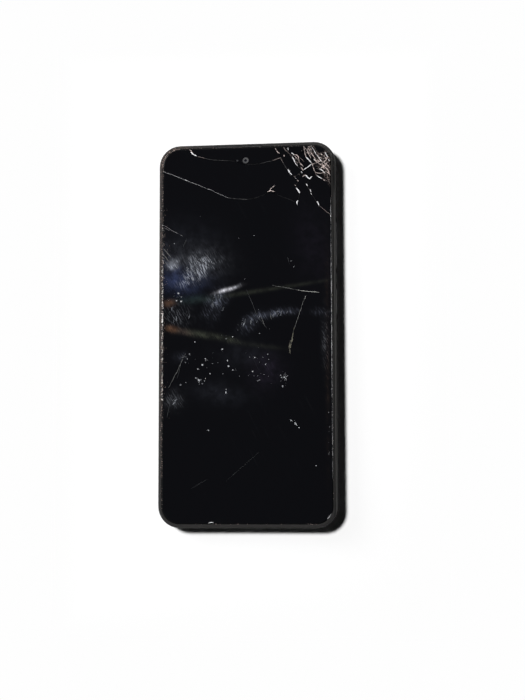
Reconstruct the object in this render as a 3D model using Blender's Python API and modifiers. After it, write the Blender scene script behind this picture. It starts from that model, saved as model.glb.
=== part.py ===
"""A phone with a shattered screen, lying face up, as separate closed solids.

The frame is +Z out of the screen, +Y towards the earpiece end and +X to the right as seen
from the front. The flat back lies on z = 0 and the origin is under the middle of the phone.
"""
import math

import bmesh
import bpy
from mathutils import Matrix, Vector

MM = 0.001
MERGE = 0.001 * MM
CLEARANCE = 0.3 * MM
OVERLAP = 0.2 * MM
OVERSHOOT = 1.0 * MM
WALL_SKIN = 0.05 * MM
ROUND_SEGMENTS = 24
SMALL_ROUND_SEGMENTS = 12

# Overall size and the stack from the back up to the glass.
WIDTH = 76.8 * MM
LENGTH = 165.3 * MM
CORNER_RADIUS = 9.2 * MM
SIDE = WIDTH / 2
END = LENGTH / 2
CORNER_SEGMENTS = 8
FINE_CORNER_SEGMENTS = 5
BACK_WALL = 0.9 * MM
COVER_RIM_Z = 2.3 * MM
FRAME_BOTTOM_Z = COVER_RIM_Z + CLEARANCE
PLATE_BOTTOM_Z = 6.3 * MM
PLATE_TOP_Z = 7.0 * MM
LEDGE_Z = 7.6 * MM
LIP_TOP_Z = 9.15 * MM
GLASS_THICKNESS = 0.8 * MM
GLASS_BOTTOM_Z = 8.6 * MM
GLASS_TOP_Z = GLASS_BOTTOM_Z + GLASS_THICKNESS
DISPLAY_BOTTOM_Z = PLATE_TOP_Z + CLEARANCE
DISPLAY_TOP_Z = GLASS_BOTTOM_Z - CLEARANCE

# Frame band.
FRAME_WALL = 2.2 * MM
LIP_WIDTH = 1.6 * MM
LIP_ROUND = 1.3 * MM
LIP_ROUND_SEGMENTS = 3
BAND_LOWER_ROUND = 0.3 * MM
LEDGE_WIDTH = 1.6 * MM
GLASS_GAP = 0.25 * MM
GLASS_EDGE_ROUND = 0.3 * MM
RIB_THICKNESS = 1.0 * MM
LOWER_RIB_Y = -END + 22.15 * MM
UPPER_RIB_Y = END - 52.15 * MM
CAVITY_X = SIDE - FRAME_WALL
CAVITY_Y = END - FRAME_WALL
CAVITY_RADIUS = CORNER_RADIUS - FRAME_WALL
POCKET_X = SIDE - LIP_WIDTH
POCKET_Y = END - LIP_WIDTH
POCKET_RADIUS = CORNER_RADIUS - LIP_WIDTH
WELL_X = POCKET_X - LEDGE_WIDTH
WELL_Y = POCKET_Y - LEDGE_WIDTH
WELL_RADIUS = POCKET_RADIUS - LEDGE_WIDTH
RIB_STUB = 0.2 * MM
RIB_GAP_TOP_Z = PLATE_BOTTOM_Z - 0.1 * MM
SWITCH_RIB_X0 = SIDE - 6.1 * MM
SWITCH_RIB_X1 = SWITCH_RIB_X0 + 0.7 * MM
SWITCH_RIB_BOTTOM_Z = 3.0 * MM

# Side keys on the right, seen from the front.
KEY_HEIGHT = 2.0 * MM
KEY_Z = 4.9 * MM
KEY_SCOOP_DEPTH = 0.5 * MM
KEY_SCOOP_MARGIN_Y = 2.2 * MM
KEY_SCOOP_MARGIN_Z = 0.7 * MM
KEY_CAP_ROUND = 0.35 * MM
KEY_FLANGE_MARGIN = 0.8 * MM
KEY_FLANGE_MARGIN_Z = 0.2 * MM
KEY_FLANGE_THICKNESS = 0.9 * MM
VOLUME_KEY_Y = END - 44.65 * MM
VOLUME_KEY_LENGTH = 20.0 * MM
POWER_KEY_Y = END - 69.15 * MM
POWER_KEY_LENGTH = 11.0 * MM
KEY_NUB_RADIUS = 0.6 * MM
KEY_NUB_LENGTH = 0.3 * MM
VOLUME_NUB_REACH = VOLUME_KEY_LENGTH / 2 - 3.0 * MM
SWITCH_RIB_Y0 = POWER_KEY_Y - POWER_KEY_LENGTH / 2 - 4.0 * MM
SWITCH_RIB_Y1 = VOLUME_KEY_Y + VOLUME_KEY_LENGTH / 2 + 2.0 * MM
STRIP_X0 = SWITCH_RIB_X1 + CLEARANCE
STRIP_THICKNESS = 0.3 * MM
STRIP_HALF_HEIGHT = 1.1 * MM
STRIP_INSET = 1.0 * MM
DOME_GAP = 0.35 * MM
DOME_X = CAVITY_X - CLEARANCE - KEY_FLANGE_THICKNESS - KEY_NUB_LENGTH - DOME_GAP
DOME_RADIUS = 0.9 * MM
DOME_TIP_RADIUS = 0.6 * MM

# Card tray on the left.
TRAY_Y = END - 23.45 * MM
TRAY_WIDTH = 14.4 * MM
TRAY_THICKNESS = 1.2 * MM
TRAY_Z = 4.8 * MM
TRAY_HEAD_WIDTH = 16.0 * MM
TRAY_HEAD_HEIGHT = 2.0 * MM
TRAY_HEAD_DEPTH = 0.9 * MM
TRAY_LENGTH = 16.0 * MM
CARD_BED_RIM = 1.0 * MM
CARD_BED_START = 2.5 * MM
CARD_BED_FLOOR_Z = TRAY_Z - 0.1 * MM
CARD_BED_CORNER = 0.6 * MM
PIN_HOLE_RADIUS = 0.45 * MM
PIN_HOLE_Y = TRAY_Y - TRAY_WIDTH / 2 - 0.1 * MM
READER_WALL = 0.35 * MM
READER_TOP = 0.3 * MM

# Back cover. The gaps in its snap tongue are x0, y0, x1, y1.
COVER_ROUND = COVER_RIM_Z - 0.15 * MM
COVER_ROUND_SEGMENTS = 4
COVER_SIDE = 2.5 * MM
TONGUE_THICKNESS = 1.0 * MM
TONGUE_TOP_Z = 3.4 * MM
GAP_MARGIN = 2.0 * MM
RIB_GAP_MARGIN = 0.8 * MM
SIDE_GAP_DEPTH = 8.4 * MM
SOCKET_GAP_LENGTH = 10.65 * MM
LEFT_GAP_X = (-SIDE - OVERSHOOT, -SIDE + SIDE_GAP_DEPTH)
TRAY_GAP_REACH = TRAY_HEAD_WIDTH / 2 + GAP_MARGIN
RIB_GAP_REACH = RIB_THICKNESS / 2 + RIB_GAP_MARGIN
TONGUE_GAPS = (
    (
        SIDE - SIDE_GAP_DEPTH, SWITCH_RIB_Y0 - GAP_MARGIN,
        SIDE + OVERSHOOT, SWITCH_RIB_Y1 + GAP_MARGIN,
    ),
    (LEFT_GAP_X[0], TRAY_Y - TRAY_GAP_REACH, LEFT_GAP_X[1], TRAY_Y + TRAY_GAP_REACH),
    (LEFT_GAP_X[0], -END - OVERSHOOT, SIDE - 14.4 * MM, -END + SOCKET_GAP_LENGTH),
    (LEFT_GAP_X[0], LOWER_RIB_Y - RIB_GAP_REACH, LEFT_GAP_X[1], LOWER_RIB_Y + RIB_GAP_REACH),
    (LEFT_GAP_X[0], UPPER_RIB_Y - RIB_GAP_REACH, LEFT_GAP_X[1], UPPER_RIB_Y + RIB_GAP_REACH),
)

# Front camera and earpiece, measured on the photographed face.
FRONT_CAMERA_X = -0.3 * MM
FRONT_CAMERA_Y = END - 7.55 * MM
FRONT_CAMERA_RADIUS = 1.3 * MM
SENSOR_X = -4.9 * MM
SENSOR_Y = FRONT_CAMERA_Y
EARPIECE_X = -3.5 * MM
EARPIECE_LENGTH = 20.8 * MM
EARPIECE_SLOT_DEPTH = 0.8 * MM
EARPIECE_SLOT_FLOOR_Z = LEDGE_Z + 0.1 * MM
EARPIECE_MESH_INSET = 0.05 * MM
EARPIECE_MESH_BACK_GAP = 0.25 * MM
EARPIECE_MESH_TOP_Z = LIP_TOP_Z - 0.1 * MM
EARPIECE_OPENINGS = 12
EARPIECE_SPEAKER_X = -11.5 * MM
EARPIECE_SPEAKER_Y = END - 6.75 * MM
EARPIECE_SPEAKER_HALF_X = 5.5 * MM
EARPIECE_SPEAKER_HALF_Y = 2.8 * MM
EARPIECE_SPEAKER_BOTTOM_Z = 3.3 * MM
EARPIECE_SPEAKER_TOP_Z = 6.0 * MM
EARPIECE_PORT_HALF_X = 2.5 * MM
EARPIECE_PORT_HALF_Y = 0.6 * MM
EARPIECE_PORT_Y = EARPIECE_SPEAKER_Y + 1.7 * MM
EARPIECE_PORT_FLOOR_Z = 5.6 * MM
CAMERA_BODY_HALF = 3.1 * MM
CAMERA_BODY_BOTTOM_Z = 3.4 * MM
CAMERA_BODY_TOP_Z = 5.9 * MM
CAMERA_CORNER = 0.5 * MM
LENS_INNER_RADIUS = 0.35 * MM
LENS_OUTER_RADIUS = 0.8 * MM
LENS_DEPTH = 0.6 * MM
SENSOR_HALF_X = 1.0 * MM
SENSOR_HALF_Y = 0.7 * MM
TAIL_HALF_WIDTH = 8.0 * MM
TAIL_Y = -END + 10.15 * MM
TAIL_HALF_THICKNESS = 0.2 * MM
TAIL_SLOT_HALF_WIDTH = 9.0 * MM
TAIL_SLOT_HALF_DEPTH = 0.9 * MM
TAIL_PLUG_HALF_WIDTH = 8.5 * MM
TAIL_PLUG_Y0 = TAIL_Y - 0.5 * MM
TAIL_PLUG_Y1 = TAIL_Y + 3.5 * MM
GASKET_WIDTH = 0.9 * MM

# Rear cameras, one above the other behind one dark window.
WINDOW_X = SIDE - 15.9 * MM
WINDOW_Y = END - 21.65 * MM
WINDOW_WIDTH = 13.0 * MM
WINDOW_LENGTH = 33.0 * MM
WINDOW_RADIUS = 4.0 * MM
WINDOW_THICKNESS = 0.6 * MM
MAIN_CAMERA_Y = WINDOW_Y + 10.0 * MM
WIDE_CAMERA_Y = WINDOW_Y + 0.5 * MM
DEPTH_CAMERA_Y = WINDOW_Y - 7.4 * MM
FLASH_Y = WINDOW_Y - 13.0 * MM
WINDOW_STEP = 1.0 * MM
WINDOW_STEP_TOP_Z = 1.6 * MM
MAIN_CAMERA_HALF = 4.3 * MM
MAIN_BARREL_RADIUS = 3.2 * MM
WIDE_CAMERA_HALF = 3.6 * MM
WIDE_BARREL_RADIUS = 2.6 * MM
DEPTH_CAMERA_HALF = 2.7 * MM
DEPTH_BARREL_RADIUS = 1.9 * MM
REAR_CAMERA_BOTTOM_Z = 2.3 * MM
REAR_CAMERA_TOP_Z = 6.0 * MM
BARREL_Z = WINDOW_THICKNESS + 2 * CLEARANCE
BARREL_LENS_DEPTH = 0.9 * MM
LENS_THROAT = 0.35
LENS_MOUTH = 0.75
LAMP_HALF = 1.5 * MM
LAMP_BOTTOM_Z = 1.9 * MM
LAMP_LENS_Z = 1.2 * MM
LAMP_LENS_RADIUS = 1.1 * MM
LAMP_LENS_TIP_RADIUS = 0.8 * MM

# Circuit boards.
BOARD_BOTTOM_Z = 4.2 * MM
BOARD_TOP_Z = 5.0 * MM
BOARD_MARGIN = 0.6 * MM
BOARD_START_Y = UPPER_RIB_Y + 1.1 * MM
SUB_BOARD_X0 = -11.8 * MM
SUB_BOARD_END_Y = LOWER_RIB_Y - 1.1 * MM
REAR_CHIP_HEIGHT = 0.7 * MM
FRONT_CHIP_HEIGHT = 0.5 * MM

# Charging and headphone sockets and the microphone, side by side along the bottom edge.
USB_WIDTH = 8.9 * MM
JACK_X = SIDE - 21.4 * MM
JACK_BODY_WIDTH = 6.4 * MM
MICROPHONE_X = (USB_WIDTH / 2 + JACK_X - JACK_BODY_WIDTH / 2) / 2

# Flat outlines: x0, y0, x1, y1.
CUTOUT_MARGIN = 0.6 * MM
CUTOUT_REACH = OVERSHOOT + BOARD_MARGIN
BOARD_CUTOUTS = (
    (
        SWITCH_RIB_X0 - CUTOUT_MARGIN, BOARD_START_Y - CUTOUT_REACH,
        SIDE, SWITCH_RIB_Y1 + GAP_MARGIN,
    ),
    (-SIDE, TRAY_Y - 9.0 * MM, -SIDE + 19.4 * MM, TRAY_Y + 9.0 * MM),
    (
        EARPIECE_SPEAKER_X - EARPIECE_SPEAKER_HALF_X - 1.0 * MM,
        FRONT_CAMERA_Y - CAMERA_BODY_HALF - CUTOUT_MARGIN,
        FRONT_CAMERA_X + CAMERA_BODY_HALF + CUTOUT_MARGIN, END,
    ),
    (
        WINDOW_X - MAIN_CAMERA_HALF - CUTOUT_MARGIN, DEPTH_CAMERA_Y - DEPTH_CAMERA_HALF - 0.5 * MM,
        WINDOW_X + MAIN_CAMERA_HALF + CUTOUT_MARGIN, MAIN_CAMERA_Y + MAIN_CAMERA_HALF + 0.7 * MM,
    ),
)
REAR_SHIELD_X = -SIDE + 10.4 * MM
REAR_SHIELD_Y = BOARD_START_Y + 2.9 * MM
REAR_SHIELD = (REAR_SHIELD_X, REAR_SHIELD_Y, REAR_SHIELD_X + 23.0 * MM, REAR_SHIELD_Y + 15.0 * MM)
FRONT_SHIELD_X = -14.0 * MM
FRONT_SHIELD_Y = BOARD_START_Y + 19.9 * MM
FRONT_SHIELD = (
    FRONT_SHIELD_X, FRONT_SHIELD_Y, FRONT_SHIELD_X + 25.0 * MM, FRONT_SHIELD_Y + 18.0 * MM,
)

# Chips on the boards: left and lower edge, width and length.
REAR_CHIPS = (
    (REAR_SHIELD_X + 9.0 * MM, REAR_SHIELD_Y + 1.5 * MM, 12.0 * MM, 12.0 * MM),
    (REAR_SHIELD_X + 0.5 * MM, REAR_SHIELD_Y + 2.0 * MM, 6.0 * MM, 9.0 * MM),
    (5.0 * MM, BOARD_START_Y + 10.4 * MM, 8.0 * MM, 10.0 * MM),
)
FRONT_CHIPS = (
    (FRONT_SHIELD_X + 2.0 * MM, FRONT_SHIELD_Y + 1.5 * MM, 8.0 * MM, 10.0 * MM),
    (FRONT_SHIELD_X + 17.0 * MM, FRONT_SHIELD_Y + 7.5 * MM, 6.0 * MM, 6.0 * MM),
    (WINDOW_X + 6.1 * MM, WINDOW_Y - 4.0 * MM, 2.0 * MM, 6.0 * MM),
    (-16.0 * MM, BOARD_START_Y + 11.9 * MM, 6.0 * MM, 4.0 * MM),
)
SUB_BOARD_CHIPS = (
    (-1.0 * MM, -END + 14.65 * MM, 8.0 * MM, 4.0 * MM),
    (MICROPHONE_X - 1.4 * MM, -END + 3.25 * MM, 2.8 * MM, 2.0 * MM),
)
REAR_SHIELD_TOP_Z = 2.4 * MM
FRONT_SHIELD_TOP_Z = 6.0 * MM
SHIELD_CORNER = 0.8 * MM
SHIELD_RIM = 0.2 * MM
SHIELD_WALL = 0.3 * MM
SHIELD_FACE = 0.2 * MM

# Openings in the bottom wall share one height.
SOCKET_Z = 4.6 * MM
USB_HEIGHT = 3.1 * MM
USB_DEPTH = 7.6 * MM
USB_WALL = 0.3 * MM
USB_TONGUE_WIDTH = 6.6 * MM
USB_TONGUE_THICKNESS = 0.7 * MM
USB_TONGUE_INSET = 0.8 * MM
USB_BACK_WALL = 0.6 * MM
USB_INSET = 0.3 * MM
USB_ROUND = 1.3 * MM
USB_INNER_ROUND = 1.0 * MM
USB_ROUND_SEGMENTS = 4
USB_ABOVE = 0.1 * MM
USB_FRONT_Y = -END + USB_INSET
JACK_FRONT_Y = -CAVITY_Y + CLEARANCE
JACK_BORE_RADIUS = 1.75 * MM
JACK_MOUTH_RADIUS = JACK_BORE_RADIUS + 0.05 * MM
JACK_RELIEF_TOP_Z = PLATE_TOP_Z + 0.15 * MM
JACK_BODY_HEIGHT = 4.0 * MM
JACK_BODY_LENGTH = 12.0 * MM
JACK_BORE_DEPTH = 11.0 * MM
MICROPHONE_RADIUS = 0.5 * MM
SPEAKER_HOLE_RADIUS = 0.65 * MM
SPEAKER_HOLE_COUNT = 6
LOUDSPEAKER_X0 = -SIDE + 6.8 * MM
LOUDSPEAKER_X1 = SUB_BOARD_X0 - 0.7 * MM
LOUDSPEAKER_BACK_Y = SUB_BOARD_END_Y - 0.8 * MM
SPEAKER_HOLE_FIRST_X = LOUDSPEAKER_X1 - 3.5 * MM
SPEAKER_HOLE_LAST_X = LOUDSPEAKER_X0 + 2.6 * MM
SPEAKER_HOLE_PITCH = (SPEAKER_HOLE_LAST_X - SPEAKER_HOLE_FIRST_X) / (SPEAKER_HOLE_COUNT - 1)
LOUDSPEAKER_BOTTOM_Z = 2.6 * MM
LOUDSPEAKER_TOP_Z = 5.9 * MM
LOUDSPEAKER_SETBACK = 1.1 * MM
LOUDSPEAKER_CORNER = 1.2 * MM
LOUDSPEAKER_RIM = 0.3 * MM
SPEAKER_PORT_MARGIN = 1.2 * MM
SPEAKER_PORT_HALF_HEIGHT = 0.8 * MM
SPEAKER_PORT_DEPTH = 2.0 * MM
SPEAKER_MESH_MARGIN = 1.6 * MM
SPEAKER_MESH_HALF_HEIGHT = 1.2 * MM
SPEAKER_MESH_THICKNESS = 0.5 * MM
MOTOR_X = SIDE - 10.4 * MM
MOTOR_Y = -END + 9.15 * MM
MOTOR_RADIUS = 4.0 * MM
MOTOR_BOTTOM_Z = 1.6 * MM

# Battery and the cable past it.
CABLE_X0 = SIDE - 11.9 * MM
CABLE_X1 = CABLE_X0 + 5.0 * MM
BATTERY_X0 = -SIDE + 4.4 * MM
BATTERY_X1 = CABLE_X0 - 1.5 * MM
BATTERY_BOTTOM_Z = 1.3 * MM
BATTERY_TOP_Z = 5.9 * MM
BATTERY_END_GAP = 0.6 * MM
BATTERY_CORNER = 1.6 * MM
BATTERY_RIM = 0.8 * MM
LEAD_X0 = -6.0 * MM
LEAD_X1 = 0.0
LEAD_END_Y = BOARD_START_Y + 3.4 * MM
LEAD_PLUG_Y0 = LEAD_END_Y - 1.0 * MM
LEAD_PLUG_Y1 = LEAD_END_Y + 3.0 * MM
LEAD_PLUG_MARGIN = 1.0 * MM
CABLE_Z = 5.3 * MM
CABLE_THICKNESS = 0.3 * MM
PLUG_HEIGHT = 0.6 * MM
CABLE_START_Y = -END + 12.65 * MM
CABLE_END_Y = BOARD_START_Y + 10.4 * MM
CABLE_PLUG_HALF = 2.5 * MM
CABLE_PLUG_MARGIN = 0.4 * MM
CABLE_PLUG_INSET = 2.0 * MM

# Screws.
SCREW_HEAD_RADIUS = 1.4 * MM
SCREW_HEAD_HEIGHT = 0.7 * MM
SCREW_SHANK_RADIUS = 0.6 * MM
SCREW_SLOT_HALF_LENGTH = 0.7 * MM
SCREW_SLOT_HALF_WIDTH = 0.14 * MM
SCREW_SLOT_DEPTH = 0.35 * MM
BOSS_RADIUS = 2.0 * MM
BORE_TOP_Z = PLATE_TOP_Z - 0.25 * MM
SCREW_PLACES = (
    (-SIDE + 7.4 * MM, BOARD_START_Y + 4.4 * MM),
    (-SIDE + 7.4 * MM, END - 8.65 * MM),
    (10.5 * MM, END - 6.65 * MM),
    (SIDE - 6.8 * MM, END - 8.65 * MM),
    (5.0 * MM, BOARD_START_Y + 4.4 * MM),
    (-8.2 * MM, -END + 18.15 * MM),
    (12.0 * MM, -END + 18.15 * MM),
    (SIDE - 15.6 * MM, -END + 16.25 * MM),
)

# Cracks through the glass. Each point is a share of the half width and of the half length,
# from the middle of the face.
CRACK_WIDTH = 0.22 * MM
CRACKS = {
    "upper_long": (
        (-1.0052, 0.8724), (-0.8255, 0.8397), (-0.6875, 0.8106), (-0.5365, 0.7828),
        (-0.3854, 0.7526), (-0.2917, 0.7308), (-0.2109, 0.7139), (-0.1094, 0.7054),
        (0.0182, 0.7018), (0.1094, 0.7078), (0.2474, 0.7332), (0.3281, 0.7284), (0.4167, 0.7078),
        (0.5052, 0.6945), (0.5729, 0.6739),
    ),
    "top_hook": (
        (-0.6927, 1.0188), (-0.6328, 0.9704), (-0.5625, 0.9401), (-0.5234, 0.9341),
        (-0.4193, 0.9195), (-0.3047, 0.9135), (-0.1250, 0.9062), (-0.0078, 0.8857),
        (0.1406, 0.8881), (0.3021, 0.9038), (0.3880, 0.9244),
    ),
    "left_short": (
        (-1.0052, 0.5904), (-0.9583, 0.5796), (-0.8438, 0.5457), (-0.7214, 0.5166),
    ),
    "right_edge": (
        (0.7109, 0.7985), (0.6797, 0.7719), (0.7240, 0.7296), (0.8099, 0.6679), (0.9661, 0.6001),
        (1.0052, 0.5844),
    ),
    "corner_a": (
        (0.2708, 1.0188), (0.3047, 0.9897), (0.3438, 0.9546), (0.3724, 0.9437), (0.3880, 0.9220),
        (0.4167, 0.8893), (0.4688, 0.8518), (0.5078, 0.8240), (0.5495, 0.8131), (0.5833, 0.7913),
        (0.5599, 0.7707), (0.5807, 0.7489), (0.6042, 0.7272), (0.5911, 0.7005), (0.5729, 0.6703),
    ),
    "corner_b": (
        (0.3620, 1.0188), (0.4010, 0.9861), (0.4583, 0.9534), (0.4922, 0.9292), (0.5156, 0.9159),
        (0.5391, 0.8941), (0.5833, 0.8663), (0.6406, 0.8445),
    ),
    "corner_c": (
        (0.4219, 1.0188), (0.4714, 0.9704), (0.5182, 0.9474), (0.5547, 0.9280), (0.5885, 0.9050),
        (0.6068, 0.8796), (0.6406, 0.8445),
    ),
    "corner_link": (
        (0.6406, 0.8445), (0.6172, 0.8312), (0.5833, 0.8240), (0.5495, 0.8131),
    ),
    "corner_d": (
        (0.6328, 1.0188), (0.6432, 0.9897), (0.6536, 0.9679), (0.6667, 0.9474), (0.6771, 0.9256),
        (0.7109, 0.9038), (0.7344, 0.8820), (0.7448, 0.8711), (0.7656, 0.8494), (0.7786, 0.8385),
    ),
    "cross": (
        (0.6406, 0.8445), (0.6510, 0.8554), (0.6875, 0.8663), (0.7422, 0.8748),
    ),
    "notch": (
        (0.6406, 0.8445), (0.6745, 0.8227), (0.7109, 0.7985), (0.7422, 0.8143), (0.7786, 0.8385),
    ),
    "lower_bound": (
        (0.7422, 0.8143), (0.7995, 0.8167), (0.8464, 0.8058), (0.8802, 0.7901), (0.9245, 0.7792),
        (0.9714, 0.7623), (1.0052, 0.7514),
    ),
    "crush_a": (
        (0.6823, 1.0188), (0.7240, 0.9788), (0.7578, 0.9570), (0.7917, 0.9244), (0.8255, 0.9026),
        (0.8698, 0.8699), (0.9036, 0.8385), (0.9089, 0.8106), (0.8802, 0.7901),
    ),
    "crush_b": (
        (0.8177, 1.0188), (0.8620, 0.9667), (0.8828, 0.9449), (0.9167, 0.9135), (0.9505, 0.8808),
        (1.0130, 0.8506),
    ),
    "crush_link_a": (
        (0.7448, 0.8711), (0.7839, 0.8784), (0.8255, 0.9026),
    ),
    "crush_link_b": (
        (0.7786, 0.8385), (0.8307, 0.8542), (0.8698, 0.8699),
    ),
    "crush_link_c": (
        (0.9036, 0.8385), (0.9375, 0.8106), (0.9714, 0.7889), (1.0130, 0.7695),
    ),
    "crush_link_d": (
        (0.7786, 0.8385), (0.7995, 0.8167),
    ),
    "crush_link_e": (
        (0.8255, 0.9026), (0.8750, 0.9074), (0.9167, 0.9135),
    ),
    "splinter": (
        (0.5547, 0.9280), (0.6146, 0.9389), (0.6667, 0.9474),
    ),
}

# A point inside each shard as shares, how far it has sunk in millimetres (below zero where it
# stands up), and how it leans in degrees about x and y.
SHARDS = {
    "glass_main": (0.000, 0.000, 0.0, 0.0, 0.0),
    "glass_upper_left": (-0.260, 0.823, 0.0, 0.0, 0.0),
    "glass_top_strip": (0.000, 0.962, 0.0, 0.0, 0.0),
    "glass_shard_01": (0.411, 0.932, 0.05, 0.3, -0.4),
    "glass_shard_02": (0.552, 0.915, 0.08, -0.5, 0.5),
    "glass_shard_03": (0.581, 0.962, -0.03, 0.4, 0.3),
    "glass_shard_04": (0.661, 0.895, 0.08, -0.4, -0.5),
    "glass_shard_05": (0.711, 0.841, 0.1, 0.7, 0.4),
    "glass_shard_06": (0.859, 0.726, 0.04, 0.2, -0.2),
    "glass_shard_07": (0.719, 0.938, 0.08, -0.5, 0.6),
    "glass_shard_08": (0.807, 0.874, 0.1, 0.6, -0.7),
    "glass_shard_09": (0.846, 0.835, 0.12, -0.6, 0.5),
    "glass_shard_10": (0.820, 0.956, -0.02, 0.3, 0.5),
    "glass_shard_11": (0.906, 0.883, 0.1, 0.6, 0.6),
    "glass_shard_12": (0.924, 0.922, 0.05, -0.3, -0.4),
    "glass_shard_13": (0.943, 0.791, 0.1, -0.6, 0.3),
    "glass_shard_14": (0.771, 0.820, 0.1, 0.5, 0.5),
}

# Chips broken out of the surface along the cracks: x and y as shares, half length and half
# width in millimetres, and direction in degrees.
CHIP_DEPTH = 0.3 * MM
CHIP_RISE = 0.04 * MM
CHIPS = (
    (0.4948, 0.8348, 1.5, 0.45, 128.0),
    (0.5938, 0.7405, 1.4, 0.45, 118.0),
    (0.5807, 0.6897, 1.1, 0.4, 96.0),
    (0.6927, 0.8082, 1.3, 0.4, 125.0),
    (0.2865, 0.7368, 1.6, 0.35, 20.0),
    (0.7135, 0.7405, 1.0, 0.4, 115.0),
    (0.7995, 0.6763, 1.2, 0.35, 120.0),
    (0.9635, 0.7985, 1.5, 0.45, 122.0),
    (-0.5885, 0.9510, 1.5, 0.35, 140.0),
    (-0.4010, -0.9728, 0.9, 0.4, 0.0),
)

# Nicks where the corner struck the ground: x, y, z and radius.
NICKS = (
    (SIDE - 2.2 * MM, END - 2.05 * MM, LIP_TOP_Z + 0.15 * MM, 0.9 * MM),
    (SIDE - 0.2 * MM, END - 5.75 * MM, LIP_TOP_Z - 0.55 * MM, 0.7 * MM),
    (SIDE - 5.2 * MM, END - 0.15 * MM, LIP_TOP_Z - 0.25 * MM, 0.6 * MM),
    (SIDE, END - 10.45 * MM, LIP_TOP_Z - 0.05 * MM, 0.5 * MM),
)

# Colour, roughness and metallic of each finish.
FINISHES = {
    "cover_glass": ((0.020, 0.022, 0.026), 0.09, 0.0),
    "frame_plastic": ((0.028, 0.028, 0.030), 0.42, 0.0),
    "cover_plastic": ((0.012, 0.012, 0.014), 0.36, 0.0),
    "key_plastic": ((0.020, 0.020, 0.022), 0.35, 0.0),
    "display_black": ((0.008, 0.008, 0.010), 0.30, 0.0),
    "foam": ((0.015, 0.015, 0.015), 0.90, 0.0),
    "mesh_grey": ((0.16, 0.16, 0.17), 0.50, 1.0),
    "steel": ((0.46, 0.46, 0.47), 0.35, 1.0),
    "dark_steel": ((0.20, 0.20, 0.21), 0.40, 1.0),
    "board_green": ((0.010, 0.060, 0.032), 0.45, 0.0),
    "cable_amber": ((0.20, 0.070, 0.010), 0.50, 0.0),
    "lens_black": ((0.010, 0.010, 0.014), 0.12, 0.0),
    "lamp_yellow": ((0.75, 0.62, 0.18), 0.35, 0.0),
    "foil_grey": ((0.060, 0.062, 0.066), 0.40, 0.0),
    "socket_plastic": ((0.018, 0.018, 0.018), 0.50, 0.0),
}


def clear_scene():
    """Remove the start-up objects."""
    for item in list(bpy.data.objects):
        bpy.data.objects.remove(item, do_unlink=True)


def make_collection(name):
    """Add a collection under the scene's own."""
    collection = bpy.data.collections.new(name)
    bpy.context.scene.collection.children.link(collection)
    return collection


def make_material(name):
    """Build the Principled material of one finish."""
    colour, roughness, metallic = FINISHES[name]
    material = bpy.data.materials.new(name)
    material.use_nodes = True
    shader = material.node_tree.nodes["Principled BSDF"]
    shader.inputs["Base Color"].default_value = (*colour, 1.0)
    shader.inputs["Roughness"].default_value = roughness
    shader.inputs["Metallic"].default_value = metallic
    material.diffuse_color = (*colour, 1.0)
    return material


clear_scene()
PARTS = make_collection("shattered_phone")
CUTTERS = make_collection("cutters")
MATERIALS = {finish: make_material(finish) for finish in FINISHES}


def add_part(name, mesh_builder, finish):
    """Turn a finished bmesh into a named node with its material."""
    mesh = bpy.data.meshes.new(name)
    bmesh.ops.recalc_face_normals(mesh_builder, faces=mesh_builder.faces)
    mesh_builder.to_mesh(mesh)
    mesh_builder.free()
    mesh.materials.append(MATERIALS[finish])
    part = bpy.data.objects.new(name, mesh)
    PARTS.objects.link(part)
    return part


def add_cutter(name, mesh_builder):
    """Turn a finished bmesh into a hidden tool body."""
    mesh = bpy.data.meshes.new(name)
    bmesh.ops.recalc_face_normals(mesh_builder, faces=mesh_builder.faces)
    mesh_builder.to_mesh(mesh)
    mesh_builder.free()
    tool = bpy.data.objects.new(name, mesh)
    tool.display_type = "WIRE"
    tool.hide_render = True
    CUTTERS.objects.link(tool)
    return tool


def apply_tool(part, tool, operation):
    """Add an exact Boolean of the part with a tool body."""
    modifier = part.modifiers.new(tool.name, "BOOLEAN")
    modifier.operation = operation
    modifier.solver = "EXACT"
    modifier.object = tool


def cut(part, label, mesh_builder):
    """Take the shape away from the part."""
    apply_tool(part, add_cutter(f"{part.name}_{label}", mesh_builder), "DIFFERENCE")


def fuse(part, label, mesh_builder):
    """Join the shape to the part."""
    apply_tool(part, add_cutter(f"{part.name}_{label}", mesh_builder), "UNION")


def box(bounds, shape=None):
    """Add a box from (x0, y0, z0, x1, y1, z1) to a bmesh."""
    if shape is None:
        shape = bmesh.new()
    low = Vector(bounds[:3])
    high = Vector(bounds[3:])
    middle = (low + high) / 2
    size = high - low
    place = Matrix.Translation(middle) @ Matrix.Diagonal((*size, 1.0))
    bmesh.ops.create_cube(shape, size=1.0, matrix=place)
    return shape


def cylinder(radius, start, end, segments=ROUND_SEGMENTS, shape=None, end_radius=None):
    """Add a closed cylinder or cone between two points to a bmesh."""
    if shape is None:
        shape = bmesh.new()
    start = Vector(start)
    end = Vector(end)
    axis = end - start
    turn = axis.to_track_quat("Z", "Y").to_matrix().to_4x4()
    place = Matrix.Translation((start + end) / 2) @ turn
    bmesh.ops.create_cone(
        shape,
        cap_ends=True,
        segments=segments,
        radius1=radius,
        radius2=radius if end_radius is None else end_radius,
        depth=axis.length,
        matrix=place,
    )
    return shape


def upright_edges(shape):
    """List the edges that run along z."""
    found = []
    for edge in shape.edges:
        first, second = edge.verts
        step = second.co - first.co
        if abs(step.z) > MERGE and step.xy.length < MERGE:
            found.append(edge)
    return found


def level_edges(shape, height):
    """List the edges lying at one height."""
    found = []
    for edge in shape.edges:
        if all(abs(vert.co.z - height) < MERGE / 10 for vert in edge.verts):
            found.append(edge)
    return found


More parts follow.
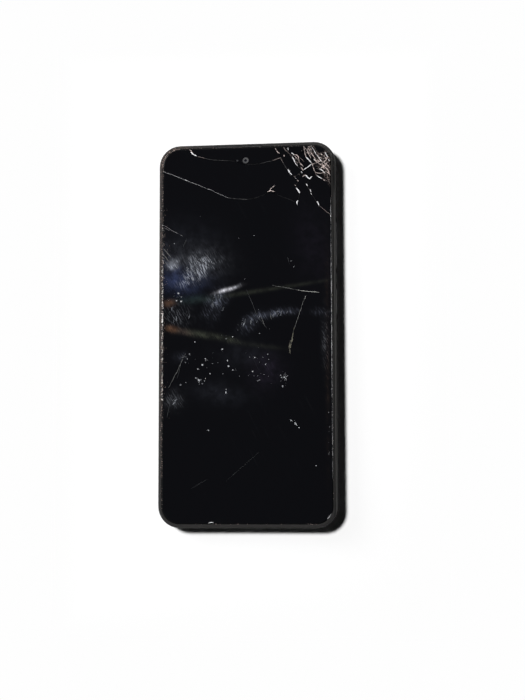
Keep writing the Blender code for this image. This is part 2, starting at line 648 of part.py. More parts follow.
def bevel(shape, edges, size, segments):
    """Round the chosen edges of a bmesh."""
    bmesh.ops.bevel(
        shape,
        geom=edges,
        offset=size,
        offset_type="OFFSET",
        segments=segments,
        profile=0.5,
        affect="EDGES",
        clamp_overlap=True,
    )


def slab(bounds, radius, segments=CORNER_SEGMENTS, top=None, bottom=None):
    """Make a box with rounded upright corners and, where given, rounded rims.

    `top` and `bottom` are (size, segments) of the rim rounding.
    """
    shape = box(bounds)
    bevel(shape, upright_edges(shape), radius, segments)
    if top:
        bevel(shape, level_edges(shape, bounds[5]), top[0], top[1])
    if bottom:
        bevel(shape, level_edges(shape, bounds[2]), bottom[0], bottom[1])
    return shape


def centred(half_x, half_y, low, high):
    """Bounds of a box centred on the z axis."""
    return (-half_x, -half_y, low, half_x, half_y, high)


def around(x, y, half_x, half_y, low, high):
    """Bounds of a box centred at (x, y)."""
    return (x - half_x, y - half_y, low, x + half_x, y + half_y, high)


def raised(footprint, low, high):
    """Bounds of a box over a flat outline."""
    x0, y0, x1, y1 = footprint
    return (x0, y0, low, x1, y1, high)


def chip_bounds(chip, low, high):
    """Bounds of a chip from its left and lower edge, width and length."""
    x, y, width, length = chip
    return (x, y, low, x + width, y + length, high)


def on_face(share_x, share_y):
    """Place on the face, in metres, of a point given as shares of the half sizes."""
    return (share_x * SIDE, share_y * END)


def lengthwise_edges(shape):
    """List the edges that run along y."""
    found = []
    for edge in shape.edges:
        step = edge.verts[1].co - edge.verts[0].co
        if abs(step.y) > MERGE and step.xz.length < MERGE:
            found.append(edge)
    return found


def corner_slab(bounds, corners, radius, segments=CORNER_SEGMENTS):
    """Make a box whose upright edges listed in corners, as (sign x, sign y), are rounded."""
    shape = box(bounds)
    middle_x = (bounds[0] + bounds[3]) / 2
    middle_y = (bounds[1] + bounds[4]) / 2
    chosen = []
    for edge in upright_edges(shape):
        x, y = edge.verts[0].co.xy
        side = (1 if x > middle_x else -1, 1 if y > middle_y else -1)
        if side in corners:
            chosen.append(edge)
    bevel(shape, chosen, radius, segments)
    return shape


def build_frame():
    """Frame band with lip, glass ledge, chassis plate, ribs and screw bosses."""
    outer = centred(SIDE, END, FRAME_BOTTOM_Z, LIP_TOP_Z)
    rims = {"top": (LIP_ROUND, LIP_ROUND_SEGMENTS), "bottom": (BAND_LOWER_ROUND, 1)}
    shape = slab(outer, CORNER_RADIUS, **rims)
    frame = add_part("mid_frame", shape, "frame_plastic")

    pocket = centred(POCKET_X, POCKET_Y, LEDGE_Z, LIP_TOP_Z + OVERSHOOT)
    cut(frame, "glass_pocket", slab(pocket, POCKET_RADIUS))
    well = centred(WELL_X, WELL_Y, PLATE_TOP_Z, LEDGE_Z + OVERSHOOT)
    cut(frame, "display_well", slab(well, WELL_RADIUS))

    low = FRAME_BOTTOM_Z - OVERSHOOT
    half_rib = RIB_THICKNESS / 2
    bottom_bay = (-CAVITY_X, -CAVITY_Y, low, CAVITY_X, LOWER_RIB_Y - half_rib, PLATE_BOTTOM_Z)
    cut(frame, "bottom_bay", corner_slab(bottom_bay, {(-1, -1), (1, -1)}, CAVITY_RADIUS))
    middle_bay = (
        -CAVITY_X, LOWER_RIB_Y + half_rib, low, CAVITY_X, UPPER_RIB_Y - half_rib, PLATE_BOTTOM_Z,
    )
    cut(frame, "middle_bay", box(middle_bay))
    top_bay = (-CAVITY_X, UPPER_RIB_Y + half_rib, low, CAVITY_X, CAVITY_Y, PLATE_BOTTOM_Z)
    cut(frame, "top_bay", corner_slab(top_bay, {(-1, 1), (1, 1)}, CAVITY_RADIUS))

    cut(frame, "rib_gaps", rib_gap_shapes(low))
    fuse(frame, "bosses", boss_shapes())
    fuse(frame, "switch_rib", box((
        SWITCH_RIB_X0, SWITCH_RIB_Y0, SWITCH_RIB_BOTTOM_Z,
        SWITCH_RIB_X1, SWITCH_RIB_Y1, PLATE_BOTTOM_Z + OVERLAP,
    )))
    cut(frame, "boss_bores", boss_bore_shapes())
    cut(frame, "plate_holes", plate_hole_shapes())
    cut_frame_sockets(frame)
    cut_frame_side_openings(frame)
    cut_earpiece_slot(frame)
    cut(frame, "nicks", nick_shapes())
    return frame


def rib_gap_shapes(low):
    """Gaps in both ribs for the long cable and the battery lead."""
    shape = bmesh.new()
    for rib_y in (LOWER_RIB_Y, UPPER_RIB_Y):
        box((
            CABLE_X0 - CLEARANCE, rib_y - RIB_THICKNESS, low,
            CAVITY_X - RIB_STUB, rib_y + RIB_THICKNESS, RIB_GAP_TOP_Z,
        ), shape)
    box((
        LEAD_X0 - LEAD_PLUG_MARGIN, UPPER_RIB_Y - RIB_THICKNESS, low,
        LEAD_X1 + LEAD_PLUG_MARGIN, UPPER_RIB_Y + RIB_THICKNESS, RIB_GAP_TOP_Z,
    ), shape)
    return shape


def boss_shapes():
    """Round bosses that hang from the plate down to the boards."""
    shape = bmesh.new()
    for x, y in SCREW_PLACES:
        start = (x, y, BOARD_TOP_Z + CLEARANCE)
        cylinder(BOSS_RADIUS, start, (x, y, PLATE_BOTTOM_Z + OVERLAP), ROUND_SEGMENTS, shape)
    return shape


def boss_bore_shapes():
    """Blind bores for the screws."""
    shape = bmesh.new()
    for x, y in SCREW_PLACES:
        start = (x, y, BOARD_TOP_Z)
        end = (x, y, BORE_TOP_Z)
        cylinder(SCREW_SHANK_RADIUS + CLEARANCE, start, end, SMALL_ROUND_SEGMENTS, shape)
    return shape


def plate_hole_shapes():
    """Openings in the plate for the front camera and for the display's tail."""
    shape = bmesh.new()
    cylinder(
        FRONT_CAMERA_RADIUS + 2 * CLEARANCE,
        (FRONT_CAMERA_X, FRONT_CAMERA_Y, PLATE_BOTTOM_Z - OVERSHOOT),
        (FRONT_CAMERA_X, FRONT_CAMERA_Y, PLATE_TOP_Z + OVERSHOOT),
        ROUND_SEGMENTS,
        shape,
    )
    box(around(
        0.0, TAIL_Y, TAIL_SLOT_HALF_WIDTH, TAIL_SLOT_HALF_DEPTH,
        PLATE_BOTTOM_Z - OVERSHOOT, PLATE_TOP_Z + OVERSHOOT,
    ), shape)
    return shape


def cut_frame_sockets(frame):
    """Openings in the bottom wall and the relief above the headphone socket."""
    outside = -END - OVERSHOOT
    inside = -CAVITY_Y + OVERSHOOT
    usb = box((
        -USB_WIDTH / 2 - CLEARANCE, outside, SOCKET_Z - USB_HEIGHT / 2 - CLEARANCE,
        USB_WIDTH / 2 + CLEARANCE, inside, SOCKET_Z + USB_HEIGHT / 2 + USB_ABOVE,
    ))
    bevel(usb, lengthwise_edges(usb), USB_ROUND + USB_ABOVE, USB_ROUND_SEGMENTS)
    cut(frame, "usb_opening", usb)

    holes = bmesh.new()
    places = [(JACK_X, JACK_MOUTH_RADIUS, ROUND_SEGMENTS)]
    places.append((MICROPHONE_X, MICROPHONE_RADIUS, SMALL_ROUND_SEGMENTS))
    for index in range(SPEAKER_HOLE_COUNT):
        x = SPEAKER_HOLE_FIRST_X + index * SPEAKER_HOLE_PITCH
        places.append((x, SPEAKER_HOLE_RADIUS, SMALL_ROUND_SEGMENTS))
    for x, radius, segments in places:
        cylinder(radius, (x, outside, SOCKET_Z), (x, inside, SOCKET_Z), segments, holes)
    cut(frame, "bottom_holes", holes)

    half = JACK_BODY_WIDTH / 2 + CLEARANCE
    back = JACK_FRONT_Y + JACK_BODY_LENGTH + CLEARANCE
    cut(frame, "jack_relief", box((
        JACK_X - half, -CAVITY_Y + WALL_SKIN, PLATE_BOTTOM_Z - OVERSHOOT,
        JACK_X + half, back, JACK_RELIEF_TOP_Z,
    )))


def cut_frame_side_openings(frame):
    """Scoops and slots for the keys, and the stepped slot for the tray."""
    wall_outside = SIDE + OVERSHOOT
    wall_inside = CAVITY_X - OVERSHOOT
    slots = bmesh.new()
    scoops = bmesh.new()
    for y, length in ((VOLUME_KEY_Y, VOLUME_KEY_LENGTH), (POWER_KEY_Y, POWER_KEY_LENGTH)):
        half_y = length / 2 + CLEARANCE
        half_z = KEY_HEIGHT / 2 + CLEARANCE
        box((wall_inside, y - half_y, KEY_Z - half_z, wall_outside, y + half_y, KEY_Z + half_z), slots)
        half_y = length / 2 + KEY_SCOOP_MARGIN_Y
        half_z = KEY_HEIGHT / 2 + KEY_SCOOP_MARGIN_Z
        x0 = SIDE - KEY_SCOOP_DEPTH
        box((x0, y - half_y, KEY_Z - half_z, wall_outside, y + half_y, KEY_Z + half_z), scoops)
    cut(frame, "key_scoops", scoops)
    cut(frame, "key_slots", slots)

    outside = -SIDE - OVERSHOOT
    half_y = TRAY_HEAD_WIDTH / 2 + CLEARANCE
    half_z = TRAY_HEAD_HEIGHT / 2 + CLEARANCE
    step_x = -SIDE + TRAY_HEAD_DEPTH + CLEARANCE
    cut(frame, "tray_recess", box((
        outside, TRAY_Y - half_y, TRAY_Z - half_z, step_x, TRAY_Y + half_y, TRAY_Z + half_z,
    )))
    half_y = TRAY_WIDTH / 2 + CLEARANCE
    half_z = TRAY_THICKNESS / 2 + CLEARANCE
    cut(frame, "tray_slot", box((
        outside, TRAY_Y - half_y, TRAY_Z - half_z,
        -CAVITY_X + OVERSHOOT, TRAY_Y + half_y, TRAY_Z + half_z,
    )))


def cut_earpiece_slot(frame):
    """Slot between the glass and the lip, and its channel down to the earpiece speaker."""
    half = EARPIECE_LENGTH / 2
    cut(frame, "earpiece_slot", box((
        EARPIECE_X - half, POCKET_Y - CLEARANCE, EARPIECE_SLOT_FLOOR_Z,
        EARPIECE_X + half, POCKET_Y + EARPIECE_SLOT_DEPTH, LIP_TOP_Z + OVERSHOOT,
    )))
    cut(frame, "earpiece_channel", box((
        EARPIECE_SPEAKER_X - EARPIECE_PORT_HALF_X, CAVITY_Y - EARPIECE_PORT_HALF_Y,
        PLATE_BOTTOM_Z - CLEARANCE,
        EARPIECE_SPEAKER_X + EARPIECE_PORT_HALF_X, POCKET_Y + CLEARANCE,
        EARPIECE_SLOT_FLOOR_Z + CLEARANCE,
    )))


def nick_shapes():
    """Small balls that gouge the struck corner."""
    shape = bmesh.new()
    for x, y, z, radius in NICKS:
        place = Matrix.Translation((x, y, z))
        bmesh.ops.create_icosphere(shape, subdivisions=1, radius=radius, matrix=place)
    return shape


def crack_wall(name, points):
    """Make the thin upright wall that follows one crack through the glass."""
    curve = bpy.data.curves.new(name, "CURVE")
    curve.dimensions = "3D"
    spline = curve.splines.new("POLY")
    spline.points.add(len(points) - 1)
    height = (GLASS_BOTTOM_Z + GLASS_TOP_Z) / 2
    for target, share in zip(spline.points, points):
        target.co = (*on_face(*share), height, 1.0)
    curve.extrude = GLASS_THICKNESS
    holder = bpy.data.objects.new(name, curve)
    CUTTERS.objects.link(holder)
    bpy.context.view_layer.update()
    ribbon = bpy.data.meshes.new_from_object(holder)
    bpy.data.objects.remove(holder, do_unlink=True)
    shape = bmesh.new()
    shape.from_mesh(ribbon)
    bmesh.ops.remove_doubles(shape, verts=shape.verts, dist=MERGE)
    bpy.data.meshes.remove(ribbon)
    mesh = bpy.data.meshes.new(name)
    shape.to_mesh(mesh)
    shape.free()
    wall = bpy.data.objects.new(name, mesh)
    wall.display_type = "WIRE"
    wall.hide_render = True
    CUTTERS.objects.link(wall)
    thicken = wall.modifiers.new("thickness", "SOLIDIFY")
    thicken.thickness = CRACK_WIDTH
    thicken.offset = 0.0
    thicken.use_even_offset = True
    return wall


def chip_shapes():
    """Shallow faceted pits along the cracks."""
    shape = bmesh.new()
    for share_x, share_y, half_length, half_width, direction in CHIPS:
        x, y = on_face(share_x, share_y)
        turn = Matrix.Rotation(math.radians(direction), 4, "Z")
        stretch = Matrix.Diagonal((half_length * MM, half_width * MM, CHIP_DEPTH, 1.0))
        place = Matrix.Translation((x, y, GLASS_TOP_Z + CHIP_RISE)) @ turn @ stretch
        bmesh.ops.create_icosphere(shape, subdivisions=1, radius=1.0, matrix=place)
    return shape


def build_glass():
    """Cut the cover glass along its cracks into loose shards."""
    bounds = centred(POCKET_X - GLASS_GAP, POCKET_Y - GLASS_GAP, GLASS_BOTTOM_Z, GLASS_TOP_Z)
    shape = slab(bounds, POCKET_RADIUS - GLASS_GAP, top=(GLASS_EDGE_ROUND, 2))
    pane = add_part("glass_pane", shape, "cover_glass")
    cut(pane, "chips", chip_shapes())
    for name, points in CRACKS.items():
        apply_tool(pane, crack_wall(f"crack_{name}", points), "DIFFERENCE")
    bpy.context.view_layer.update()
    depsgraph = bpy.context.evaluated_depsgraph_get()
    cracked = bpy.data.meshes.new_from_object(pane.evaluated_get(depsgraph))
    bpy.data.objects.remove(pane, do_unlink=True)
    islands = split_islands(cracked)
    bpy.data.meshes.remove(cracked)
    for name, values in SHARDS.items():
        place_shard(name, values, islands)


def split_islands(mesh):
    """Split a mesh into its loose solids."""
    shape = bmesh.new()
    shape.from_mesh(mesh)
    shape.verts.ensure_lookup_table()
    seen = set()
    islands = []
    for start in shape.verts:
        if start.index in seen:
            continue
        stack = [start]
        members = set()
        while stack:
            vert = stack.pop()
            if vert.index in members:
                continue
            members.add(vert.index)
            stack.extend(edge.other_vert(vert) for edge in vert.link_edges)
        seen |= members
        piece = shape.copy()
        piece.verts.ensure_lookup_table()
        outside = [vert for vert in piece.verts if vert.index not in members]
        bmesh.ops.delete(piece, geom=outside, context="VERTS")
        islands.append(piece)
    shape.free()
    return islands


def contains(piece, x, y):
    """Tell whether the point lies inside the shard's outline, looking down on it."""
    inside = False
    for face in piece.faces:
        if any(abs(vert.co.z - GLASS_BOTTOM_Z) > MERGE for vert in face.verts):
            continue
        corners = [vert.co for vert in face.verts]
        for first, second in zip(corners, corners[1:] + corners[:1]):
            if (first.y > y) != (second.y > y):
                crossing = first.x + (y - first.y) * (second.x - first.x) / (second.y - first.y)
                if crossing > x:
                    inside = not inside
    return inside


def place_shard(name, values, islands):
    """Make a node of the shard round the given point and let it sink and lean a little."""
    share_x, share_y, sink, lean_x, lean_y = values
    x, y = on_face(share_x, share_y)
    for piece in islands:
        if contains(piece, x, y):
            break
    else:
        raise RuntimeError(f"no shard of glass at the point of {name}")
    islands.remove(piece)
    pivot = Matrix.Translation((x, y, GLASS_BOTTOM_Z))
    lean = Matrix.Rotation(math.radians(lean_x), 4, "X")
    lean = lean @ Matrix.Rotation(math.radians(lean_y), 4, "Y")
    drop = Matrix.Translation((0.0, 0.0, -sink * MM))
    bmesh.ops.transform(piece, matrix=drop @ pivot @ lean @ pivot.inverted(), verts=piece.verts)
    return add_part(name, piece, "cover_glass")


def build_display():
    """Display panel with the hole for the front camera, and its tail down to the lower board."""
    bounds = centred(WELL_X - CLEARANCE, WELL_Y - CLEARANCE, DISPLAY_BOTTOM_Z, DISPLAY_TOP_Z)
    panel = add_part("display_panel", slab(bounds, WELL_RADIUS - CLEARANCE), "display_black")
    low = DISPLAY_BOTTOM_Z - OVERSHOOT
    high = DISPLAY_TOP_Z + OVERSHOOT
    cut(panel, "camera_hole", cylinder(
        FRONT_CAMERA_RADIUS + 2 * CLEARANCE,
        (FRONT_CAMERA_X, FRONT_CAMERA_Y, low),
        (FRONT_CAMERA_X, FRONT_CAMERA_Y, high),
    ))
    cut(panel, "sensor_hole", box(around(
        SENSOR_X, SENSOR_Y, SENSOR_HALF_X + CLEARANCE, SENSOR_HALF_Y + CLEARANCE, low, high,
    )))
    plug_bottom = BOARD_TOP_Z + CLEARANCE
    fuse(panel, "tail", box(around(
        0.0, TAIL_Y, TAIL_HALF_WIDTH, TAIL_HALF_THICKNESS, plug_bottom, DISPLAY_BOTTOM_Z + OVERLAP,
    )))
    fuse(panel, "tail_plug", box((
        -TAIL_PLUG_HALF_WIDTH, TAIL_PLUG_Y0, plug_bottom,
        TAIL_PLUG_HALF_WIDTH, TAIL_PLUG_Y1, plug_bottom + PLUG_HEIGHT,
    )))
    return panel


def build_gasket():
    """Adhesive ring on the ledge, under the rim of the glass."""
    bottom = LEDGE_Z + CLEARANCE
    top = GLASS_BOTTOM_Z - CLEARANCE
    outer_x = POCKET_X - CLEARANCE
    outer_y = POCKET_Y - CLEARANCE
    radius = POCKET_RADIUS - CLEARANCE
    ring = slab(centred(outer_x, outer_y, bottom, top), radius)
    gasket = add_part("screen_gasket", ring, "foam")
    inner_x = outer_x - GASKET_WIDTH
    inner_y = outer_y - GASKET_WIDTH
    cut(gasket, "middle", slab(
        centred(inner_x, inner_y, bottom - OVERSHOOT, top + OVERSHOOT), radius - GASKET_WIDTH,
    ))
    return gasket


def build_earpiece():
    """Mesh bar in the slot at the top edge, and the small speaker that sounds through it."""
    half = EARPIECE_LENGTH / 2 - CLEARANCE
    y0 = POCKET_Y + EARPIECE_MESH_INSET
    y1 = POCKET_Y + EARPIECE_SLOT_DEPTH - EARPIECE_MESH_BACK_GAP
    mesh = add_part("earpiece_mesh", box((
        EARPIECE_X - half, y0, EARPIECE_SLOT_FLOOR_Z + CLEARANCE,
        EARPIECE_X + half, y1, EARPIECE_MESH_TOP_Z,
    )), "mesh_grey")
    grooves = bmesh.new()
    pitch = 2 * half / EARPIECE_OPENINGS
    for index in range(EARPIECE_OPENINGS):
        x = EARPIECE_X - half + (index + 0.5) * pitch
        box(around(
            x, (y0 + y1) / 2, pitch / 4, (y1 - y0) / 5,
            EARPIECE_MESH_TOP_Z - CLEARANCE, EARPIECE_MESH_TOP_Z + OVERLAP,
        ), grooves)
    cut(mesh, "openings", grooves)

    body = around(
        EARPIECE_SPEAKER_X, EARPIECE_SPEAKER_Y, EARPIECE_SPEAKER_HALF_X, EARPIECE_SPEAKER_HALF_Y,
        EARPIECE_SPEAKER_BOTTOM_Z, EARPIECE_SPEAKER_TOP_Z,
    )
    speaker = add_part("earpiece_speaker", slab(body, CAMERA_CORNER, 2), "dark_steel")
    cut(speaker, "port", box(around(
        EARPIECE_SPEAKER_X, EARPIECE_PORT_Y, EARPIECE_PORT_HALF_X, EARPIECE_PORT_HALF_Y,
        EARPIECE_PORT_FLOOR_Z, EARPIECE_SPEAKER_TOP_Z + OVERSHOOT,
    )))


def build_front_camera():
    """Front camera with its barrel up through the plate and the display, and the light sensor."""
    body = around(
        FRONT_CAMERA_X, FRONT_CAMERA_Y, CAMERA_BODY_HALF, CAMERA_BODY_HALF,
        CAMERA_BODY_BOTTOM_Z, CAMERA_BODY_TOP_Z,
    )
    camera = add_part("front_camera", slab(body, CAMERA_CORNER, 2), "lens_black")
    start = (FRONT_CAMERA_X, FRONT_CAMERA_Y, CAMERA_BODY_TOP_Z - 2 * OVERLAP)
    end = (FRONT_CAMERA_X, FRONT_CAMERA_Y, DISPLAY_TOP_Z)
    fuse(camera, "barrel", cylinder(FRONT_CAMERA_RADIUS, start, end))
    cut(camera, "lens_cone", cylinder(
        LENS_INNER_RADIUS,
        (FRONT_CAMERA_X, FRONT_CAMERA_Y, DISPLAY_TOP_Z - LENS_DEPTH),
        (FRONT_CAMERA_X, FRONT_CAMERA_Y, DISPLAY_TOP_Z + MERGE),
        end_radius=LENS_OUTER_RADIUS,
    ))
    sensor = around(
        SENSOR_X, SENSOR_Y, SENSOR_HALF_X, SENSOR_HALF_Y, DISPLAY_BOTTOM_Z, DISPLAY_TOP_Z,
    )
    add_part("light_sensor", box(sensor), "lens_black")


def build_back_cover():
    """Back cover: a shallow rounded shell with a snap tongue and the camera opening."""
    outer = centred(SIDE, END, 0.0, COVER_RIM_Z)
    shape = slab(outer, CORNER_RADIUS, bottom=(COVER_ROUND, COVER_ROUND_SEGMENTS))
    cover = add_part("back_cover", shape, "cover_plastic")
    hollow_x = SIDE - COVER_SIDE
    hollow_y = END - COVER_SIDE
    hollow = centred(hollow_x, hollow_y, BACK_WALL, COVER_RIM_Z + OVERSHOOT)
    cut(cover, "hollow", slab(hollow, CORNER_RADIUS - COVER_SIDE))

    tongue_x = CAVITY_X - CLEARANCE
    tongue_y = CAVITY_Y - CLEARANCE
    tongue_radius = CAVITY_RADIUS - CLEARANCE
    ring = slab(centred(tongue_x, tongue_y, BACK_WALL - OVERLAP, TONGUE_TOP_Z), tongue_radius)
    fuse(cover, "tongue", ring)
    inner_x = tongue_x - TONGUE_THICKNESS
    inner_y = tongue_y - TONGUE_THICKNESS
    cut(cover, "tongue_inside", slab(
        centred(inner_x, inner_y, BACK_WALL, TONGUE_TOP_Z + OVERSHOOT),
        tongue_radius - TONGUE_THICKNESS,
    ))
    gaps = bmesh.new()
    for footprint in TONGUE_GAPS:
        box(raised(footprint, COVER_RIM_Z, TONGUE_TOP_Z + OVERSHOOT), gaps)
    cut(cover, "tongue_gaps", gaps)

    half_x = WINDOW_WIDTH / 2 + CLEARANCE
    half_y = WINDOW_LENGTH / 2 + CLEARANCE
    radius = WINDOW_RADIUS + CLEARANCE
    step = around(
        WINDOW_X, WINDOW_Y, half_x + WINDOW_STEP, half_y + WINDOW_STEP,
        BACK_WALL - OVERLAP, WINDOW_STEP_TOP_Z,
    )
    fuse(cover, "window_step", slab(step, radius + WINDOW_STEP, FINE_CORNER_SEGMENTS))
    seat = around(
        WINDOW_X, WINDOW_Y, half_x, half_y, -OVERSHOOT, WINDOW_THICKNESS + CLEARANCE,
    )
    cut(cover, "window_seat", slab(seat, radius, FINE_CORNER_SEGMENTS))
    opening = around(
        WINDOW_X, WINDOW_Y, half_x - WINDOW_STEP, half_y - WINDOW_STEP,
        -OVERSHOOT, WINDOW_STEP_TOP_Z + OVERSHOOT,
    )
    cut(cover, "window_opening", slab(opening, radius - WINDOW_STEP, FINE_CORNER_SEGMENTS))


def build_camera_group():
    """Rear window, three rear cameras and the flash lamp."""
    window = around(
        WINDOW_X, WINDOW_Y, WINDOW_WIDTH / 2, WINDOW_LENGTH / 2, 0.0, WINDOW_THICKNESS,
    )
    add_part("camera_window", slab(window, WINDOW_RADIUS, FINE_CORNER_SEGMENTS), "lens_black")
    rear_camera("camera_main", MAIN_CAMERA_Y, MAIN_CAMERA_HALF, MAIN_BARREL_RADIUS)
    rear_camera("camera_wide", WIDE_CAMERA_Y, WIDE_CAMERA_HALF, WIDE_BARREL_RADIUS)
    rear_camera("camera_depth", DEPTH_CAMERA_Y, DEPTH_CAMERA_HALF, DEPTH_BARREL_RADIUS)
    body = around(
        WINDOW_X, FLASH_Y, LAMP_HALF, LAMP_HALF, LAMP_BOTTOM_Z, BOARD_BOTTOM_Z - CLEARANCE,
    )
    lamp = add_part("flash_lamp", box(body), "lamp_yellow")
    fuse(lamp, "lens", cylinder(
        LAMP_LENS_RADIUS,
        (WINDOW_X, FLASH_Y, LAMP_BOTTOM_Z + OVERLAP),
        (WINDOW_X, FLASH_Y, LAMP_LENS_Z),
        SMALL_ROUND_SEGMENTS,
        end_radius=LAMP_LENS_TIP_RADIUS,
    ))


def rear_camera(name, y, half, barrel_radius):
    """One rear camera: square body, round barrel and a cone in front of the lens."""
    body = around(WINDOW_X, y, half, half, REAR_CAMERA_BOTTOM_Z, REAR_CAMERA_TOP_Z)
    camera = add_part(name, slab(body, CAMERA_CORNER, 2), "lens_black")
    start = (WINDOW_X, y, REAR_CAMERA_BOTTOM_Z + 2 * OVERLAP)
    fuse(camera, "barrel", cylinder(barrel_radius, start, (WINDOW_X, y, BARREL_Z)))
    cut(camera, "lens_cone", cylinder(
        barrel_radius * LENS_THROAT,
        (WINDOW_X, y, BARREL_Z + BARREL_LENS_DEPTH),
        (WINDOW_X, y, BARREL_Z - MERGE),
        end_radius=barrel_radius * LENS_MOUTH,
    ))


def board_hole_shapes(upper):
    """Clearance holes for the screws of the upper or the lower board."""
    shape = bmesh.new()
    for x, y in SCREW_PLACES:
        if (y > 0) == upper:
            start = (x, y, BOARD_BOTTOM_Z - OVERSHOOT)
            end = (x, y, BOARD_TOP_Z + OVERSHOOT)
            cylinder(SCREW_SHANK_RADIUS + CLEARANCE, start, end, SMALL_ROUND_SEGMENTS, shape)
    return shape


def build_main_board():
    """Upper circuit board with its cut-outs, chips and shield cans."""
    limit_x = CAVITY_X - BOARD_MARGIN
    limit_y = CAVITY_Y - BOARD_MARGIN
    outline = (-limit_x, BOARD_START_Y, BOARD_BOTTOM_Z, limit_x, limit_y, BOARD_TOP_Z)
    shape = corner_slab(outline, {(-1, 1), (1, 1)}, CAVITY_RADIUS)
    board = add_part("main_board", shape, "board_green")
    cuts = bmesh.new()
    for footprint in BOARD_CUTOUTS:
        box(raised(footprint, BOARD_BOTTOM_Z - OVERSHOOT, BOARD_TOP_Z + OVERSHOOT), cuts)
    cut(board, "cutouts", cuts)
    cut(board, "screw_holes", board_hole_shapes(True))
    chips = bmesh.new()
    for chip in REAR_CHIPS:
        low = BOARD_BOTTOM_Z - REAR_CHIP_HEIGHT
        box(chip_bounds(chip, low, BOARD_BOTTOM_Z + OVERLAP), chips)
    for chip in FRONT_CHIPS:
        high = BOARD_TOP_Z + FRONT_CHIP_HEIGHT
        box(chip_bounds(chip, BOARD_TOP_Z - OVERLAP, high), chips)
    fuse(board, "chips", chips)
    shield_can("shield_rear", REAR_SHIELD, BOARD_BOTTOM_Z - CLEARANCE, REAR_SHIELD_TOP_Z)
    shield_can("shield_front", FRONT_SHIELD, BOARD_TOP_Z + CLEARANCE, FRONT_SHIELD_TOP_Z)


def shield_can(name, footprint, foot_z, face_z):
    """Sheet-metal can, open towards the board."""
    bounds = raised(footprint, min(foot_z, face_z), max(foot_z, face_z))
    if face_z > foot_z:
        shape = slab(bounds, SHIELD_CORNER, 2, top=(SHIELD_RIM, 1))
        low = foot_z - OVERSHOOT
        high = face_z - SHIELD_FACE
    else:
        shape = slab(bounds, SHIELD_CORNER, 2, bottom=(SHIELD_RIM, 1))
        low = face_z + SHIELD_FACE
        high = foot_z + OVERSHOOT
    can = add_part(name, shape, "steel")
    x0, y0, _, x1, y1, _ = bounds
    inside = (
        x0 + SHIELD_WALL, y0 + SHIELD_WALL, low, x1 - SHIELD_WALL, y1 - SHIELD_WALL, high,
    )
    cut(can, "hollow", box(inside))


def build_sub_board():
    """Lower circuit board with notches for the charging and headphone sockets."""
    limit_x = CAVITY_X - BOARD_MARGIN
    limit_y = -CAVITY_Y + BOARD_MARGIN
    outline = (SUB_BOARD_X0, limit_y, BOARD_BOTTOM_Z, limit_x, SUB_BOARD_END_Y, BOARD_TOP_Z)
    shape = corner_slab(outline, {(1, -1)}, CAVITY_RADIUS)
    board = add_part("sub_board", shape, "board_green")
    low = BOARD_BOTTOM_Z - OVERSHOOT
    high = BOARD_TOP_Z + OVERSHOOT
    usb_half = USB_WIDTH / 2 + CLEARANCE
    usb_back = USB_FRONT_Y + USB_DEPTH + CLEARANCE
    jack_half = JACK_BODY_WIDTH / 2 + CLEARANCE
    jack_back = JACK_FRONT_Y + JACK_BODY_LENGTH + CLEARANCE
    front = limit_y - OVERSHOOT
    cuts = bmesh.new()
    box((-usb_half, front, low, usb_half, usb_back, high), cuts)
    box((JACK_X - jack_half, front, low, JACK_X + jack_half, jack_back, high), cuts)
    cut(board, "notches", cuts)
    cut(board, "screw_holes", board_hole_shapes(False))
    chips = bmesh.new()
    low = BOARD_BOTTOM_Z - REAR_CHIP_HEIGHT
    for chip in SUB_BOARD_CHIPS:
        box(chip_bounds(chip, low, BOARD_BOTTOM_Z + OVERLAP), chips)
    fuse(board, "chips", chips)


def build_sockets():
    """Charging socket and headphone socket."""
    half_x = USB_WIDTH / 2
    low = SOCKET_Z - USB_HEIGHT / 2
    high = SOCKET_Z + USB_HEIGHT / 2
    back = USB_FRONT_Y + USB_DEPTH
    shell = box((-half_x, USB_FRONT_Y, low, half_x, back, high))
    bevel(shell, lengthwise_edges(shell), USB_ROUND, USB_ROUND_SEGMENTS)
    usb = add_part("usb_port", shell, "steel")
    inside = box((
        -half_x + USB_WALL, USB_FRONT_Y - OVERSHOOT, low + USB_WALL,
        half_x - USB_WALL, back - USB_BACK_WALL, high - USB_WALL,
    ))
    bevel(inside, lengthwise_edges(inside), USB_INNER_ROUND, USB_ROUND_SEGMENTS)
    cut(usb, "inside", inside)
    fuse(usb, "tongue", box((
        -USB_TONGUE_WIDTH / 2, USB_FRONT_Y + USB_TONGUE_INSET, SOCKET_Z - USB_TONGUE_THICKNESS / 2,
        USB_TONGUE_WIDTH / 2, back - USB_BACK_WALL / 2, SOCKET_Z + USB_TONGUE_THICKNESS / 2,
    )))

    half_width = JACK_BODY_WIDTH / 2
    half_height = JACK_BODY_HEIGHT / 2
    jack = add_part("headphone_jack", box((
        JACK_X - half_width, JACK_FRONT_Y, SOCKET_Z - half_height,
        JACK_X + half_width, JACK_FRONT_Y + JACK_BODY_LENGTH, SOCKET_Z + half_height,
    )), "socket_plastic")
    mouth = (JACK_X, JACK_FRONT_Y - OVERSHOOT, SOCKET_Z)
    end = (JACK_X, JACK_FRONT_Y + JACK_BORE_DEPTH, SOCKET_Z)
    cut(jack, "bore", cylinder(JACK_BORE_RADIUS, mouth, end))


